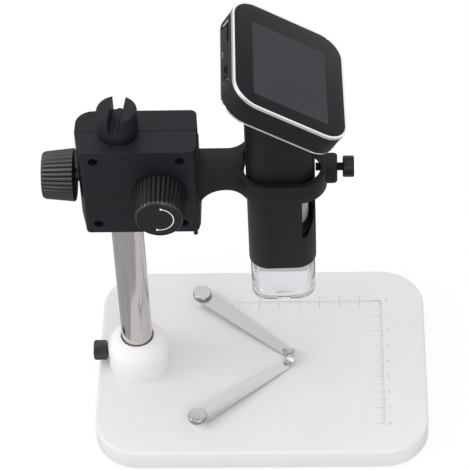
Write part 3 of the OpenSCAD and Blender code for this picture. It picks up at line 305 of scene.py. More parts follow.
# %% [markdown]
# Most of the object is injection moulded plastic. Its grain is at most a few hundredths of a
# millimetre deep, which bump shows without more faces. Tone and shine drift slowly over the
# surface, because a moulding never cools evenly. The blacks differ a little: the knobs
# shine more than the block, and the barrel is in between.


# %% Plastics
drift_scale = 60  # the tone drifts over about 17 mm
shine_drift = 0.04


def plastic(name, color, rough, depth=0.00002, size=3500, drift=0.12, gloss=0.22):
    """Moulded plastic: fine grain in bump, a slow drift of tone and shine."""
    finish, shader = new_finish(name, color, rough)
    shader.inputs["Specular IOR Level"].default_value = gloss
    fine = grain(finish, size)
    slow = grain(finish, drift_scale)
    relief(finish, shader, fine, depth)
    links = finish.node_tree.links
    dark = tuple(c * (1 - drift) for c in color)
    light = tuple(min(1, c * (1 + drift)) for c in color)
    links.new(tint(finish, slow, dark, light), shader.inputs["Base Color"])
    shine = spread(finish, slow, rough - shine_drift, rough + shine_drift)
    links.new(shine, shader.inputs["Roughness"])
    return finish


white_shell = plastic(
    "white_shell", (0.735, 0.718, 0.740), 0.50, 0.000006, 1800, 0.01, 0.35)
# A lighter copy of the base white for the socket, which is the same plastic: painted light.
white_socket_painted_light = plastic(
    "white_socket_painted_light", (0.828, 0.808, 0.822), 0.50, 0.000006, 1800, 0.01, 0.35)
black_moulded = plastic("black_moulded", (0.0108, 0.0104, 0.0148), 0.50, 0.00003, 2600)
black_knob = plastic("black_knob", (0.0095, 0.0090, 0.0140), 0.30, 0.00002, 3000, gloss=0.6)
# A darker copy of the knob black, which paints shade on the front knob's side and on the
# clamp knob's inner end.
knob_black_painted_shade = plastic(
    "knob_black_painted_shade", (0.0045, 0.0042, 0.0062), 0.44, 0.00002, 3000, gloss=0.2)
black_barrel = plastic("black_barrel", (0.0088, 0.0085, 0.0115), 0.46, 0.00002, 4000)
black_smooth = plastic("black_smooth", (0.007, 0.007, 0.008), 0.30, 0.000008, 2500)
black_disc = plastic("black_disc", (0.007, 0.007, 0.008), 0.20, 0.000004, 2500, gloss=0.4)
dark_inner = plastic("dark_inner", (0.008, 0.008, 0.008), 0.6)
rubber_black = plastic("rubber_black", (0.008, 0.008, 0.008), 0.8, 0.00005, 1500)
board_green = plastic("board_green", (0.010, 0.085, 0.035), 0.38, 0.00003, 1200, 0.25)
lamp_white = plastic("lamp_white", (0.85, 0.84, 0.74), 0.35, 0.00001, 2000, 0.03)
wheel_silver = plastic("wheel_silver", (0.40, 0.40, 0.41), 0.45, 0.000006, 2000, 0.04, 0.5)
print_grey = plastic("print_grey", (0.42, 0.42, 0.45), 0.55, 0.000004, 4000, 0.08)
print_white = plastic("print_white", (0.80, 0.80, 0.80), 0.5, 0.000004, 4000, 0.04)
print("plastics:", len(bpy.data.materials) - from_frame)


# %% [markdown]
# Steel, chrome and brass are fully metallic, and differ in tone and shine. The stretch makes
# the noise long and thin, which reads as brushing: along the pole, and along each clip, so
# the clips' noise is turned to the angle at which they lie.


# %% Metals
def metal(name, color, rough, stretch=(1, 1, 1), size=900,
          depth=0.000004, drift=0.05, turn=0):
    """Metal with a brushed or polished shine from stretched noise."""
    finish, shader = new_finish(name, color, rough, 1.0)
    lines = grain(finish, size, stretch, 4, turn)
    relief(finish, shader, lines, depth)
    links = finish.node_tree.links
    links.new(spread(finish, lines, rough * 0.7, rough * 1.3), shader.inputs["Roughness"])
    dark = tuple(c * (1 - drift) for c in color)
    links.new(tint(finish, lines, dark, color), shader.inputs["Base Color"])
    return finish


# Chrome with a darkened colour, which paints the dark reflections on the posts' sides and the
# eyelets.
chrome = metal("chrome", (0.34, 0.34, 0.36), 0.08, depth=0.0000004)
post_top = metal("post_top", (0.60, 0.58, 0.60), 0.30, (1, 8, 1), 3000, 0.000001, 0.1)
chrome_trim = metal("chrome_trim", (0.90, 0.90, 0.92), 0.18, depth=0.0000006)
polished_pole = metal(
    "polished_pole", (0.66, 0.64, 0.62), 0.13, (1, 1, 60), 1600, 0.0000008, 0.16)
clip_angle = 40.2
spring_front = metal(
    "spring_front", (0.68, 0.67, 0.67), 0.34, (20, 1, 1), 3600, 0.000001, 0.08, clip_angle)
# The rear clip's steel is a darker copy of the front clip's, the same steel: painted shade.
spring_rear_shaded = metal(
    "spring_rear_shaded", (0.58, 0.57, 0.57), 0.34, (20, 1, 1), 3600, 0.000001, 0.08, -clip_angle)
# A darker copy of the spring steel for the clips' upturned tips, which is painted shade.
tip_steel_painted_dark = metal("tip_steel_painted_dark", (0.46, 0.46, 0.47), 0.30, depth=0.0000006)
screw_steel = metal("screw_steel", (0.50, 0.50, 0.51), 0.30, depth=0.000003)
dark_steel = metal("dark_steel", (0.045, 0.045, 0.05), 0.35, depth=0.000003)
brass = metal("brass", (0.72, 0.52, 0.24), 0.28, depth=0.000003)
port_metal = metal("port_metal", (0.60, 0.60, 0.61), 0.25, depth=0.000002)
cell_foil = metal("cell_foil", (0.62, 0.62, 0.64), 0.35, size=400, depth=0.00002)
print("plastics and metals:", len(bpy.data.materials) - from_frame)


# %% [markdown]
# The tip is clear plastic and the lenses are glass, and light passes through both. The cover
# glass and the dark screen are opaque here: a smooth, nearly black finish shows the same
# reflections as tinted glass over black, and renders with less noise.


# %% Clear plastic, glass and screen
def clear(name, color, rough, ior):
    """Clear plastic or glass; faint waviness keeps it from looking like a drawing."""
    finish, shader = new_finish(name, color, rough)
    shader.inputs["Transmission Weight"].default_value = 1.0
    shader.inputs["IOR"].default_value = ior
    relief(finish, shader, grain(finish, 120), 0.00001)
    return finish


clear_tip_finish = clear("clear_tip_finish", (0.97, 0.98, 0.99), 0.05, 1.45)
lens_clear = clear("lens_clear", (0.95, 0.98, 1.0), 0.02, 1.5)
glass_black = plastic(
    "glass_black", (0.0062, 0.0062, 0.0095), 0.10, 0.0000002, 300, 0.05, 0.13)
screen_off = plastic(
    "screen_off", (0.0275, 0.0285, 0.0345), 0.16, 0.0000002, 300, 0.05, 0.15)
print("all finishes:", len(bpy.data.materials) - from_frame)


# %% [markdown]
# ## Putting pieces in their place
# A finished piece gets its material, rides on the body it belongs to, and hides the measured
# parts that it stands for. A few pieces carry two finishes, which are picked face by face.


# %% Helpers that finish a piece
def place(piece, finish, body, slot, *nodes):
    """Attach a piece, hide the parts it replaces, add a material if none; slot is not used.
    """
    if not piece.data.materials:
        piece.data.materials.append(finish)
    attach(piece, body)
    if nodes:
        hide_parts(*nodes)
    print(piece.name, len(piece.data.polygons), "faces")
    return piece


def two_finishes(piece, main, second, test):
    """Give a piece its main material, and a second one on the faces that pass a test."""
    piece.data.materials.append(main)
    piece.data.materials.append(second)
    for face in piece.data.polygons:
        face.material_index = int(test(face))


def low_high(node):
    """Lowest and highest corner of a measured part."""
    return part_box(node)


# %% [markdown]
# ## Base
# The base is one white moulding with rounded corners, a softly rounded top edge and a hollow
# underside that a dark plate closes. A cube is rounded twice and hollowed by an inset, since
# that keeps its wall even. Two small bosses carry the clips.

# %% Base body
base_top = 12 * mm
base_corner = 22 * mm
base_wall, base_hollow = 2.2 * mm, 8.4 * mm
base_low, base_high = low_high("base_shell")
base_body = slab(
    "base_body", base_low, (base_high.x, base_high.y, base_top), base_corner, 24)
round_edges(base_body, 1.5 * mm, 6, lambda middle, way: middle.z > base_top - near)
round_edges(base_body, 0.4 * mm, 2, lambda middle, way: middle.z < base_low.z + near)
choose(base_body, "FACE", lambda middle, normal: normal.z < -0.99)
bpy.ops.mesh.inset(thickness=base_wall)
bpy.ops.mesh.extrude_region_move(TRANSFORM_OT_translate={"value": (0, 0, base_hollow)})
begin()
smooth(base_body)
place(base_body, white_shell, "base", "white_plastic", "base_shell")

# %% Clip bosses on the base
clip_x, clip_y = -30.5 * mm, 40 * mm
boss_profile = [
    (0, base_top - 1 * mm), (4.3 * mm, base_top - 1 * mm), (4.3 * mm, base_top),
    (3.9 * mm, base_top + 0.25 * mm), (3.7 * mm, base_top + 0.7 * mm),
    (3.7 * mm, base_top + 2.5 * mm), (3.4 * mm, base_top + 2.8 * mm),
    (0, base_top + 2.8 * mm),
]
for name, side in (("front_clip_boss", -1), ("rear_clip_boss", 1)):
    boss = turned(name, boss_profile, steps=40)
    settle(boss, (clip_x, side * clip_y, 0))
    smooth(boss, 50)
    place(boss, white_shell, "base", "white_plastic")

# %% [markdown]
# ## Printed ruler
# Two rulers meet in a corner. Ticks stand 1 mm apart, longer at 5 and 10 mm. One thin bar is
# modelled for each length of tick, and an array repeats it, which is how the print repeats.

# %% Ruler lines and ticks
corner_x, corner_y = 59.3 * mm, 38.4 * mm
across_len, down_len = 74 * mm, 81 * mm
ink = 0.02 * mm  # half the ink's thickness
line = 0.16 * mm


def bar(name, x, y, width, depth):
    """Thin printed bar with its corner at x, y."""
    return slab(
        name, (min(x, x + width), min(y, y + depth), base_top - ink),
        (max(x, x + width), max(y, y + depth), base_top + ink), 0,
    )


def repeat(piece, count, step):
    """Repeat a bar with an array."""
    return modify(
        piece, "ARRAY", count=count, use_relative_offset=False,
        use_constant_offset=True, constant_offset_displace=step,
    )


marks = [
    bar("across_line", corner_x, corner_y, -across_len, line),
    bar("down_line", corner_x, corner_y, line, -down_len),
]
# Step and length of a tick in millimetres, then the number of ticks across and down
for step, tick, across, down in ((1, 1.3, 73, 81), (5, 3.0, 15, 17), (10, 5.4, 8, 9)):
    marks.append(repeat(
        bar("across_ticks", corner_x - 1 * mm, corner_y, -line, -tick * mm),
        across, (-step * mm, 0, 0)))
    marks.append(repeat(
        bar("down_ticks", corner_x, corner_y, -tick * mm, -line),
        down, (0, -step * mm, 0)))
place(joined(marks, "ruler_print"), print_grey, "base", "white_plastic")

# %% [markdown]
# The digits are text turned into a mesh. Numbers on a ruler are plain marks, so they stay.


# %% Ruler digits
digit_size = 2.6 * mm
above_line, beside_line = 2.4 * mm, 2.6 * mm


def digit(text, x, y):
    """One printed number, about 2 mm tall."""
    begin()
    bpy.ops.object.text_add(location=(x, y, base_top - ink))
    label = bpy.context.object
    label.data.body = text
    label.data.size = digit_size
    label.data.align_x, label.data.align_y = "CENTER", "CENTER"
    label.data.extrude = ink
    label.data.resolution_u = 3
    bpy.ops.object.convert(target="MESH")
    label = bpy.context.object
    label.location.z = base_top
    bpy.ops.object.transform_apply(location=True, rotation=True, scale=True)
    return label


digits = []
for count in range(1, 8):
    digits.append(
        digit(str(count), corner_x - (10 * count + 1) * mm, corner_y + above_line))
for count in range(0, 9):
    digits.append(
        digit(str(count), corner_x + beside_line, corner_y - 10 * count * mm))
place(joined(digits, "ruler_numbers"), print_grey, "base", "white_plastic")

# %% [markdown]
# ## Socket and pole
# The pole stands in a bell-shaped socket. Both are turned shapes: a profile spun round the
# pole's axis gives the soft shoulder and the small lip round the pole in one go.

# %% Socket
pole_low, pole_high = low_high("pole_tube")
pole_x = (pole_low.x + pole_high.x) / 2
pole_radius = (pole_high.x - pole_low.x) / 2
socket_low, socket_high = low_high("pole_socket")
foot_radius = (socket_high.x - socket_low.x) / 2
dome_radius, dome_x, dome_z = 9 * mm, 5.8 * mm, 22.6 * mm
dome = [
    (dome_x + dome_radius * math.cos(a), dome_z + dome_radius * math.sin(a))
    for a in [math.radians(step) for step in range(0, 71, 5)]
]
gap = 0.5 * mm
bore = pole_radius + 0.05 * mm
foot_z, lip_z = 8 * mm, socket_high.z
socket = turned(
    "socket_bell",
    [(bore, foot_z), (foot_radius - 1 * mm, foot_z), (foot_radius, base_top)]
    + dome
    + [(bore + gap + 0.2 * mm, lip_z - 0.15 * mm), (bore + gap, lip_z - 0.3 * mm),
       (bore + gap, lip_z - 3 * mm), (bore, lip_z - 3.2 * mm)],
    closed=True, steps=96,
)
settle(socket, (pole_x, 0, 0))
stud_hole = add(
    "cylinder", "stud_hole", vertices=40, radius=3.05 * mm, depth=16 * mm,
    location=(pole_x - 16 * mm, 0, 20 * mm), rotation=(0, math.pi / 2, 0),
)
cut(socket, stud_hole)
smooth(socket, 40)
# The socket gets the lighter copy of the base white, as painted light.
place(socket, white_socket_painted_light, "base", "white_plastic", "pole_socket")

# %% [markdown]
# The pole is a steel tube with a fine chamfer at both ends. The profile goes once round the
# tube's wall, so that the tube is open inside.

# %% Pole
pole_wall = 1.2 * mm
pole = turned(
    "pole",
    [(pole_radius - pole_wall, pole_low.z), (pole_radius - 0.2 * mm, pole_low.z),
     (pole_radius, pole_low.z + 0.2 * mm), (pole_radius, pole_high.z - 0.2 * mm),
     (pole_radius - 0.2 * mm, pole_high.z), (pole_radius - pole_wall, pole_high.z)],
    closed=True, steps=128,
)
settle(pole, (pole_x, 0, 0))
smooth(pole, 30)
place(pole, polished_pole, "pole", "polished_steel", "pole_tube")

# %% [markdown]
# ## Pole cap
# A thick black cap closes the pole. Its slot takes a coin, and a low rib runs along the
# bottom of the slot. The cap is turned, and the slot is cut with three boxes so that the rib
# is left standing. The cap sits a few degrees turned, as it was last tightened.

# %% Pole cap
cap_low, cap_high = low_high("pole_cap")
cap_radius = (cap_high.x - cap_low.x) / 2
cap_top = cap_high.z
cap_turn = -5.7
cap_seat = cap_low.z + 4.2 * mm
cap = turned(
    "pole_cap_body",
    [(0, cap_seat), (pole_radius, cap_seat), (pole_radius, cap_low.z),
     (cap_radius - 0.5 * mm, cap_low.z), (cap_radius, cap_low.z + 0.5 * mm),
     (cap_radius, cap_top - 0.9 * mm), (cap_radius - 0.3 * mm, cap_top - 0.25 * mm),
     (cap_radius - 0.9 * mm, cap_top), (0, cap_top)],
    steps=96,
)
# Left side, right side and depth of each box in millimetres; the middle one leaves the rib
for left, right, deep in ((-3.0, -1.0, 8.4), (-1.02, 1.02, 7.9), (1.0, 3.0, 8.4)):
    cut(cap, slab(
        "slot", (left * mm, -12 * mm, cap_top - deep * mm),
        (right * mm, 12 * mm, cap_top + 2 * mm), 0))
settle(cap, (pole_x, 0, 0), (0, 0, cap_turn))
modify(cap, "BEVEL", width=0.25 * mm, segments=2, limit_method="ANGLE",
       angle_limit=math.radians(50))
smooth(cap, 40)
place(cap, black_moulded, "pole", "black_plastic", "pole_cap")

# %% [markdown]
# ## Height block
# The block is moulded in two halves that meet in a seam on the pole's plane, held by four
# sunk screws. The measured halves have many pockets inside, so merged copies of them are
# used, and only their outer edges are rounded. A narrow cut along the seam draws the fine
# dark line that one sees on the real block. Weighted normals keep the large flat faces flat
# beside their small bevels.

# %% Block halves
block_low, block_high = low_high("block_front_cover")
left_x, right_x = block_low.x, block_high.x
pin_low, pin_high = low_high("slide_stop_pin")
pin_x, pin_y = (pin_low.x + pin_high.x) / 2, (pin_low.y + pin_high.y) / 2
block_half = 14 * mm  # from the seam to the front or rear face
seam_half, seam_deep = 0.17 * mm, 0.8 * mm
pole_reach, pin_reach = 9.2 * mm, 1.3 * mm  # edges closer to these two belong to their holes
plate_groove, groove_half = 1.8 * mm, 10.4 * mm  # the slide plate's groove


def at_end(middle):
    """True on the block's top or bottom face."""
    return middle.z > block_high.z - near or middle.z < block_low.z + near


def outer_edge(middle, way):
    """Edges round the top and the bottom of a block half."""
    pole_hole = math.hypot(middle.x - pole_x, middle.y) < pole_reach
    groove_end = middle.x > right_x - plate_groove and abs(middle.y) < groove_half
    pin_hole = math.hypot(middle.x - pin_x, middle.y - pin_y) < pin_reach
    inner = pole_hole or pin_hole or (groove_end and middle.z < block_low.z + near)
    return abs(way.z) < 0.02 and at_end(middle) and not inner and abs(middle.y) > near


def hole_rim(middle, way):
    """Rims of the holes in the front and rear faces."""
    return (
        abs(abs(middle.y) - block_half) < near
        and left_x + 2 * mm < middle.x < right_x - 2 * mm
        and block_low.z + 1.5 * mm < middle.z < block_high.z - 1.5 * mm
    )


for node, name in (
    ("block_front_cover", "block_front"),
    ("block_rear_housing", "block_rear"),
):
    half = copy_of(node, name)
    round_edges(half, 0.7 * mm, 3, outer_edge)
    round_edges(half, 0.5 * mm, 2, hole_rim)
    cut(half, slab(
        "seam_line", (left_x - 1 * mm, -seam_half, block_high.z - seam_deep),
        (right_x + 1 * mm, seam_half, block_high.z + 1 * mm), 0))
    smooth(half, 32)
    modify(half, "WEIGHTED_NORMAL", keep_sharp=True)
    place(half, black_moulded, "block", "black_plastic", node)

# %% [markdown]
# ## Ribbed knobs
# Both knobs are tapered and ribbed. Each is turned first, and then the points of its side
# are drawn inwards at even steps round the axis, which makes the grooves between the ribs.


# %% Grooves and the ribbed knob
def groove(piece, count, depth, low, high, sharp=2.0):
    """Draw the side of a turned piece inwards at even steps between two heights."""
    for vertex in piece.data.vertices:
        if low <= vertex.co.z <= high:
            angle = math.atan2(vertex.co.y, vertex.co.x) * count
            share = (0.5 - 0.5 * math.cos(angle)) ** sharp
            radius = math.hypot(vertex.co.x, vertex.co.y)
            if radius > 0:
                keep = (radius - depth * share) / radius
                vertex.co.x *= keep
                vertex.co.y *= keep
    return piece


def ribbed_knob(name, length, wide, narrow, ribs=32):
    """Tapered knob with its wide end at z = 0 and a sunk face at the far end."""
    face = narrow - 0.9 * mm
    knob = turned(
        name,
        [(0, 0), (wide - 0.7 * mm, 0), (wide, 0.6 * mm), (wide - 0.02 * mm, 0.65 * mm),
         (narrow + 0.1 * mm, length - 1.3 * mm), (narrow, length - 1.2 * mm),
         (narrow - 0.35 * mm, length - 0.35 * mm), (face + 0.15 * mm, length),
         (face, length), (face - 0.1 * mm, length - 0.5 * mm), (0, length - 0.5 * mm)],
        steps=ribs * 8,
    )
    groove(knob, ribs, 0.6 * mm, 0.62 * mm, length - 1.15 * mm, 4.0)
    return knob


# %% [markdown]
# The two knobs have the same taper. The clamp knob's inner end and the front knob's side get
# a darker copy of the knob black, which is painted shade, while the front knob's face and rim
# keep the shinier knob black, so each gets two finishes.

# %% Clamp knob and focus knob
knob_wide, knob_narrow = 12.25 * mm, 10.8 * mm
inner_end, face_and_rim = 0.65 * mm, 1.2 * mm
clamp_low, clamp_high = low_high("clamp_knob")
clamp_knob = ribbed_knob(
    "clamp_knob_body", clamp_high.x - clamp_low.x, knob_wide, knob_narrow)
clamp_z = (clamp_low.z + clamp_high.z) / 2
settle(clamp_knob, (clamp_high.x, 0, clamp_z), (0, -90, 0))
smooth(clamp_knob, 40)
# The inner end, next to the block, gets the darker copy as painted shade.
two_finishes(clamp_knob, black_knob, knob_black_painted_shade,
             lambda face: face.center.x > clamp_high.x - inner_end)
place(clamp_knob, black_knob, "clamp_knob", "black_plastic", "clamp_knob")

focus_low, focus_high = low_high("focus_knob")
focus_knob = ribbed_knob(
    "focus_knob_body", focus_high.y - focus_low.y, knob_wide, knob_narrow)
focus_x, focus_z = (focus_low.x + focus_high.x) / 2, (focus_low.z + focus_high.z) / 2
settle(focus_knob, (focus_x, focus_high.y, focus_z), (90, 0, 0))
smooth(focus_knob, 40)
# The side gets the darker copy as painted shade; the face and rim keep the knob black.
two_finishes(focus_knob, knob_black_painted_shade, black_knob,
             lambda face: face.center.y < focus_low.y + face_and_rim)
place(focus_knob, knob_black_painted_shade, "focus_knob", "black_plastic", "focus_knob")

# %% [markdown]
# The front knob's face holds a smooth disc with a printed arc arrow that shows the turning
# direction. The arc is a thin ring whose unused part is cut away, with a round dot at each
# end. It is turned a little, so that it leans like the arrow on the real knob.

# %% Disc with the arc arrow
disc_high = low_high("focus_knob_disc")[1]
disc_radius, arc_radius, arc_half = 9.75 * mm, 6.5 * mm, 0.2 * mm
disc = turned(
    "focus_disc",
    [(0, 0), (disc_radius, 0), (disc_radius, 0.3 * mm),
     (disc_radius - 0.25 * mm, 0.46 * mm), (0, 0.5 * mm)],
    steps=96,
)
settle(disc, (focus_x, disc_high.y, focus_z), (90, 0, 0))
smooth(disc, 30)
place(disc, black_disc, "focus_knob", "black_gloss", "focus_knob_disc")

arc_low, arc_high = 0.48 * mm, 0.54 * mm
arc_turn = -10
arc = turned(
    "arc_arrow",
    [(arc_radius - arc_half, arc_low), (arc_radius + arc_half, arc_low),
     (arc_radius + arc_half, arc_high), (arc_radius - arc_half, arc_high)],
    closed=True, steps=96,
)
cut(arc, slab("arc_gap", (-9 * mm, -9 * mm, 0), (0, 9 * mm, 2 * mm), 0))
for side in (1, -1):
    dot = add(
        "cylinder", "dot", vertices=20, radius=0.55 * mm, depth=arc_high - arc_low,
        location=(0, side * arc_radius, (arc_low + arc_high) / 2),
    )
    settle(dot)
    cut(arc, dot, "UNION")
settle(arc, turn=(0, 0, arc_turn))
settle(arc, (focus_x, disc_high.y, focus_z), (90, 0, 0))
place(arc, print_white, "focus_knob", "black_gloss")

# %% [markdown]
# ## Slide, arm and ring
# The slide plate moves up and down on the block's side and carries the arm. The arm flares
# into a ring round the barrel. Copies of the measured parts keep their screw holes, and the
# long edges are rounded, because the light catches on them.

# %% Slide plate and arm
plate_low, plate_high = low_high("slide_plate")
plate = copy_of("slide_plate", "slide_plate_body")
round_edges(
    plate, 0.35 * mm, 2,
    lambda middle, way: middle.x > plate_high.x - near
    and (abs(abs(middle.y) - plate_high.y) < near
         or middle.z > plate_high.z - near or middle.z < plate_low.z + near),
)
smooth(plate, 35)
place(plate, black_moulded, "carriage", "black_plastic", "slide_plate")

ring_high = low_high("arm_ring")[1]
ring_z = 138 * mm  # underside of the ring
arm = copy_of("arm_ring", "arm_and_ring")
round_edges(
    arm, 0.7 * mm, 3,
    lambda middle, way: abs(way.z) < 0.02
    and (middle.z > ring_high.z - near or abs(middle.z - ring_z) < near)
    and middle.x > plate_high.x + 0.5 * mm,
)
smooth(arm, 32)
place(arm, black_barrel, "carriage", "black_plastic", "arm_ring")

# %% [markdown]
# ## Thumb screws
# The ring's screw has a plain knob on a threaded black stud, and the socket's screw a finely
# ribbed knob. The thread is a turned zigzag: rings instead of a helix look the same at this
# size and stay simple.


# %% Thumb screws
def threaded_rod(name, radius, length, pitch):
    """Rod along Z with a ring for each turn of its thread."""
    core = radius - 0.3 * mm
    profile = [(0, 0), (core, 0)]
    for turn in range(int(length / pitch)):
        start = turn * pitch
        profile += [(core, start + 0.1 * pitch), (radius, start + 0.45 * pitch),
                    (radius, start + 0.55 * pitch), (core, start + 0.9 * pitch)]
    profile += [(core, length), (0, length)]
    return turned(name, profile, steps=40)


stud_low, stud_high = low_high("ring_screw_stud")
screw_z = (stud_low.z + stud_high.z) / 2
ring_stud = threaded_rod("ring_stud", 2.0 * mm, stud_high.x - stud_low.x, 0.7 * mm)
settle(ring_stud, (stud_low.x, 0, screw_z), (0, 90, 0))
smooth(ring_stud, 25)
place(ring_stud, black_smooth, "ring_screw", "black_gloss", "ring_screw_stud")

head_low = low_high("ring_screw_knob")[0]
ring_knob = turned(
    "ring_knob",
    [(0, 0), (4.4 * mm, 0), (4.9 * mm, 0.5 * mm), (4.9 * mm, 4.6 * mm), (4.75 * mm, 5.0 * mm),
     (4.4 * mm, 5.2 * mm), (3.4 * mm, 5.2 * mm), (3.2 * mm, 5.0 * mm), (0, 5.0 * mm)],
    steps=64,
)
settle(ring_knob, (head_low.x, 0, screw_z), (0, 90, 0))
smooth(ring_knob, 40)
place(ring_knob, black_smooth, "ring_screw", "black_gloss", "ring_screw_knob")

grip_low, grip_high = low_high("socket_screw_knob")
grip_len = grip_high.x - grip_low.x
grip_z = (grip_low.z + grip_high.z) / 2
grip_ribs = 36
socket_knob = turned(
    "socket_knob",
    [(0, 0), (4.3 * mm, 0), (4.88 * mm, 0.6 * mm), (4.9 * mm, 0.7 * mm),
     (4.9 * mm, grip_len - 0.7 * mm), (4.88 * mm, grip_len - 0.6 * mm),
     (4.3 * mm, grip_len), (0, grip_len)],
    steps=grip_ribs * 6,
)
groove(socket_knob, grip_ribs, 0.3 * mm, 0.65 * mm, grip_len - 0.65 * mm, 2.0)
settle(socket_knob, (grip_high.x, 0, grip_z), (0, -90, 0))
smooth(socket_knob, 40)
place(socket_knob, black_knob, "socket_screw", "black_gloss", "socket_screw_knob")

# %% [markdown]
# ## Clip posts and clips
# Each spring clip turns on a chrome post with a thick round cap. The posts are turned. The
# clips are copies with their long edges rounded, since stamped steel has soft edges.

# %% Posts
post_face = 17.8 * mm  # the flat of the cap lies above this
post_profile = [
    (0, 5 * mm), (1.5 * mm, 5 * mm), (1.5 * mm, 14.8 * mm), (2.6 * mm, 14.8 * mm),
    (2.6 * mm, 15.9 * mm), (4.2 * mm, 15.9 * mm), (4.6 * mm, 16.2 * mm),
    (4.6 * mm, 17.3 * mm), (4.45 * mm, 17.65 * mm), (4.15 * mm, 17.85 * mm),
    (3.9 * mm, 17.9 * mm), (0, 17.9 * mm),
]
posts = []
for side in (-1, 1):
    post = turned("clip_post", post_profile, steps=72)
    settle(post, (clip_x, side * clip_y, 0))
    smooth(post, 40)
    posts.append(post)
post_pair = joined(posts, "clip_post_pair")
# The posts' sides get the darkened chrome as painted dark reflection; the tops get the post
# finish.
two_finishes(post_pair, chrome, post_top, lambda face: face.center.z > post_face)
place(post_pair, chrome, "base", "chrome_parts", "clip_posts")

# %% Clips
tip_start = 9 * mm  # from here on a clip's sloping faces belong to its upturned tip
for node, name, finish in (
    ("front_clip", "front_spring_clip", spring_front),
    ("rear_clip", "rear_spring_clip", spring_rear_shaded),
):
    clip = copy_of(node, name)
    modify(clip, "BEVEL", width=0.12 * mm, segments=2, limit_method="ANGLE",
           angle_limit=math.radians(60))
    smooth(clip, 30)
    # The upturned tips get the darker steel as painted shade.
    two_finishes(clip, finish, tip_steel_painted_dark,
                 lambda face: face.center.x > tip_start and face.normal.z < 0.97)
    place(clip, finish, node, "spring_steel", node)

# %% [markdown]
# Near its tip each clip carries a small punched eyelet that presses on the slide. It is a
# turned collar with a hollow in the middle, so that it shows a bright rim and a dark centre.

# %% Eyelets at the clips' tips
for node, name, spot in (
    ("front_clip", "front_clip_eyelet", (11.6 * mm, -3.8 * mm, 13.1 * mm)),
    ("rear_clip", "rear_clip_eyelet", (11.0 * mm, 4.7 * mm, 13.0 * mm)),
):
    eyelet = turned(
        name,
        [(0, -0.4 * mm), (1.25 * mm, -0.4 * mm), (1.25 * mm, 0.1 * mm),
         (1.05 * mm, 0.42 * mm), (0.75 * mm, 0.5 * mm), (0.5 * mm, 0.36 * mm),
         (0.42 * mm, -0.15 * mm), (0, -0.2 * mm)],
        steps=40,
    )
    settle(eyelet, spot)
    smooth(eyelet, 40)
    place(eyelet, chrome, node, "spring_steel")

# %% [markdown]
# ## Barrel
# The barrel is moulded in a front and a rear half. A scoop at the front right lets a thumb
# reach the silver focus wheel. The microscope stands slightly turned in its ring, so its
# copies are turned back first, where their faces are square and edges are easy to pick.

# %% The microscope's own space
scope_x = 11.6 * mm
scope_turn = 1.7
scope = (
    Matrix.Translation((scope_x, 0, 0))
    @ Matrix.Rotation(math.radians(scope_turn), 4, "Z")
)
print("microscope turned", scope_turn, "degrees in its ring")


def own_copy(node, name, space):
    """Copy of a part, taken back into a space where its faces are square."""
    piece = copy_of(node, name)
    piece.data.transform(space.inverted())
    return piece


def put_back(piece, space):
    """Move a piece from its own space to its place."""
    piece.data.transform(space)
    piece.data.update()
    return piece


# %% Barrel halves
barrel_low = low_high("barrel_front_shell")[0]
flat_x, flat_y = 15.2 * mm, 14.1 * mm  # the outline's flats lie outside these
bend_x, bend_y, bend_radius = 6.15 * mm, 5 * mm, 9.3 * mm  # and its bends outside this


def foot_edge(middle, way):
    """Outer edges round the barrel's lower end."""
    bend = math.hypot(abs(middle.x) - bend_x, abs(middle.y) - bend_y) > bend_radius
    outer = bend or abs(middle.x) > flat_x or abs(middle.y) > flat_y
    return middle.z < barrel_low.z + near and outer


for node, name in (
    ("barrel_front_shell", "barrel_front"),
    ("barrel_rear_shell", "barrel_rear"),
):
    shell = own_copy(node, name, scope)
    round_edges(shell, 1.1 * mm, 4, foot_edge)
    put_back(shell, scope)
    smooth(shell, 32)
    place(shell, black_barrel, "microscope", "barrel_black", node)

# %% [markdown]
# ## Focus wheel
# The wheel is a silver ring with fine upright ribs. It is turned, and grooved like the knobs.

# %% Focus wheel
wheel_low, wheel_high = low_high("focus_wheel")
wheel_len = wheel_high.z - wheel_low.z
wheel_bore, wheel_radius, wheel_ribs = 8.05 * mm, 12.4 * mm, 96
wheel = turned(
    "focus_wheel_ring",
    [(wheel_bore, 0), (11.6 * mm, 0), (12.2 * mm, 0.5 * mm), (wheel_radius, 0.9 * mm),
     (wheel_radius, wheel_len - 0.9 * mm), (12.2 * mm, wheel_len - 0.5 * mm),
     (11.6 * mm, wheel_len), (wheel_bore, wheel_len)],
    closed=True, steps=wheel_ribs * 6,
)
groove(wheel, wheel_ribs, 0.4 * mm, 0.4 * mm, wheel_len - 0.4 * mm, 1.0)
settle(wheel, (scope_x, 0, wheel_low.z))
smooth(wheel, 40)
place(wheel, wheel_silver, "focus_wheel", "silver_wheel", "focus_wheel")

# %% [markdown]
# ## Clear tip
# The clear tip is an open cup with a thick rim. A copy of the measured cup keeps the inner
# wall, and its long edges are rounded, because clear plastic shows every edge as a line.

# %% Clear tip
tip = copy_of("clear_tip", "clear_tip_cup")
modify(tip, "BEVEL", width=0.25 * mm, segments=2, limit_method="ANGLE",
       angle_limit=math.radians(60))
smooth(tip, 40)
place(tip, clear_tip_finish, "microscope", "clear_plastic", "clear_tip")

# %% [markdown]
# ## Display head
# The head is a tray with a thin chrome line at the back and a wide chrome frame in front. It
# leans, so its pieces are made flat in their own space, where edges are easy to pick, and
# then leaned into place.

# %% The head's own space
head_z, head_lean, head_back = 192.6 * mm, 32.5, 1.3 * mm
lean = (
    scope @ Matrix.Translation((0, 0, head_z))
    @ Matrix.Rotation(math.radians(head_lean), 4, "Y")
    @ Matrix.Translation((-head_back, 0, 0))
)
half_w, half_l, thick, corner = 28.5 * mm, 33.25 * mm, 12 * mm, 12 * mm
print("head leans", head_lean, "degrees")


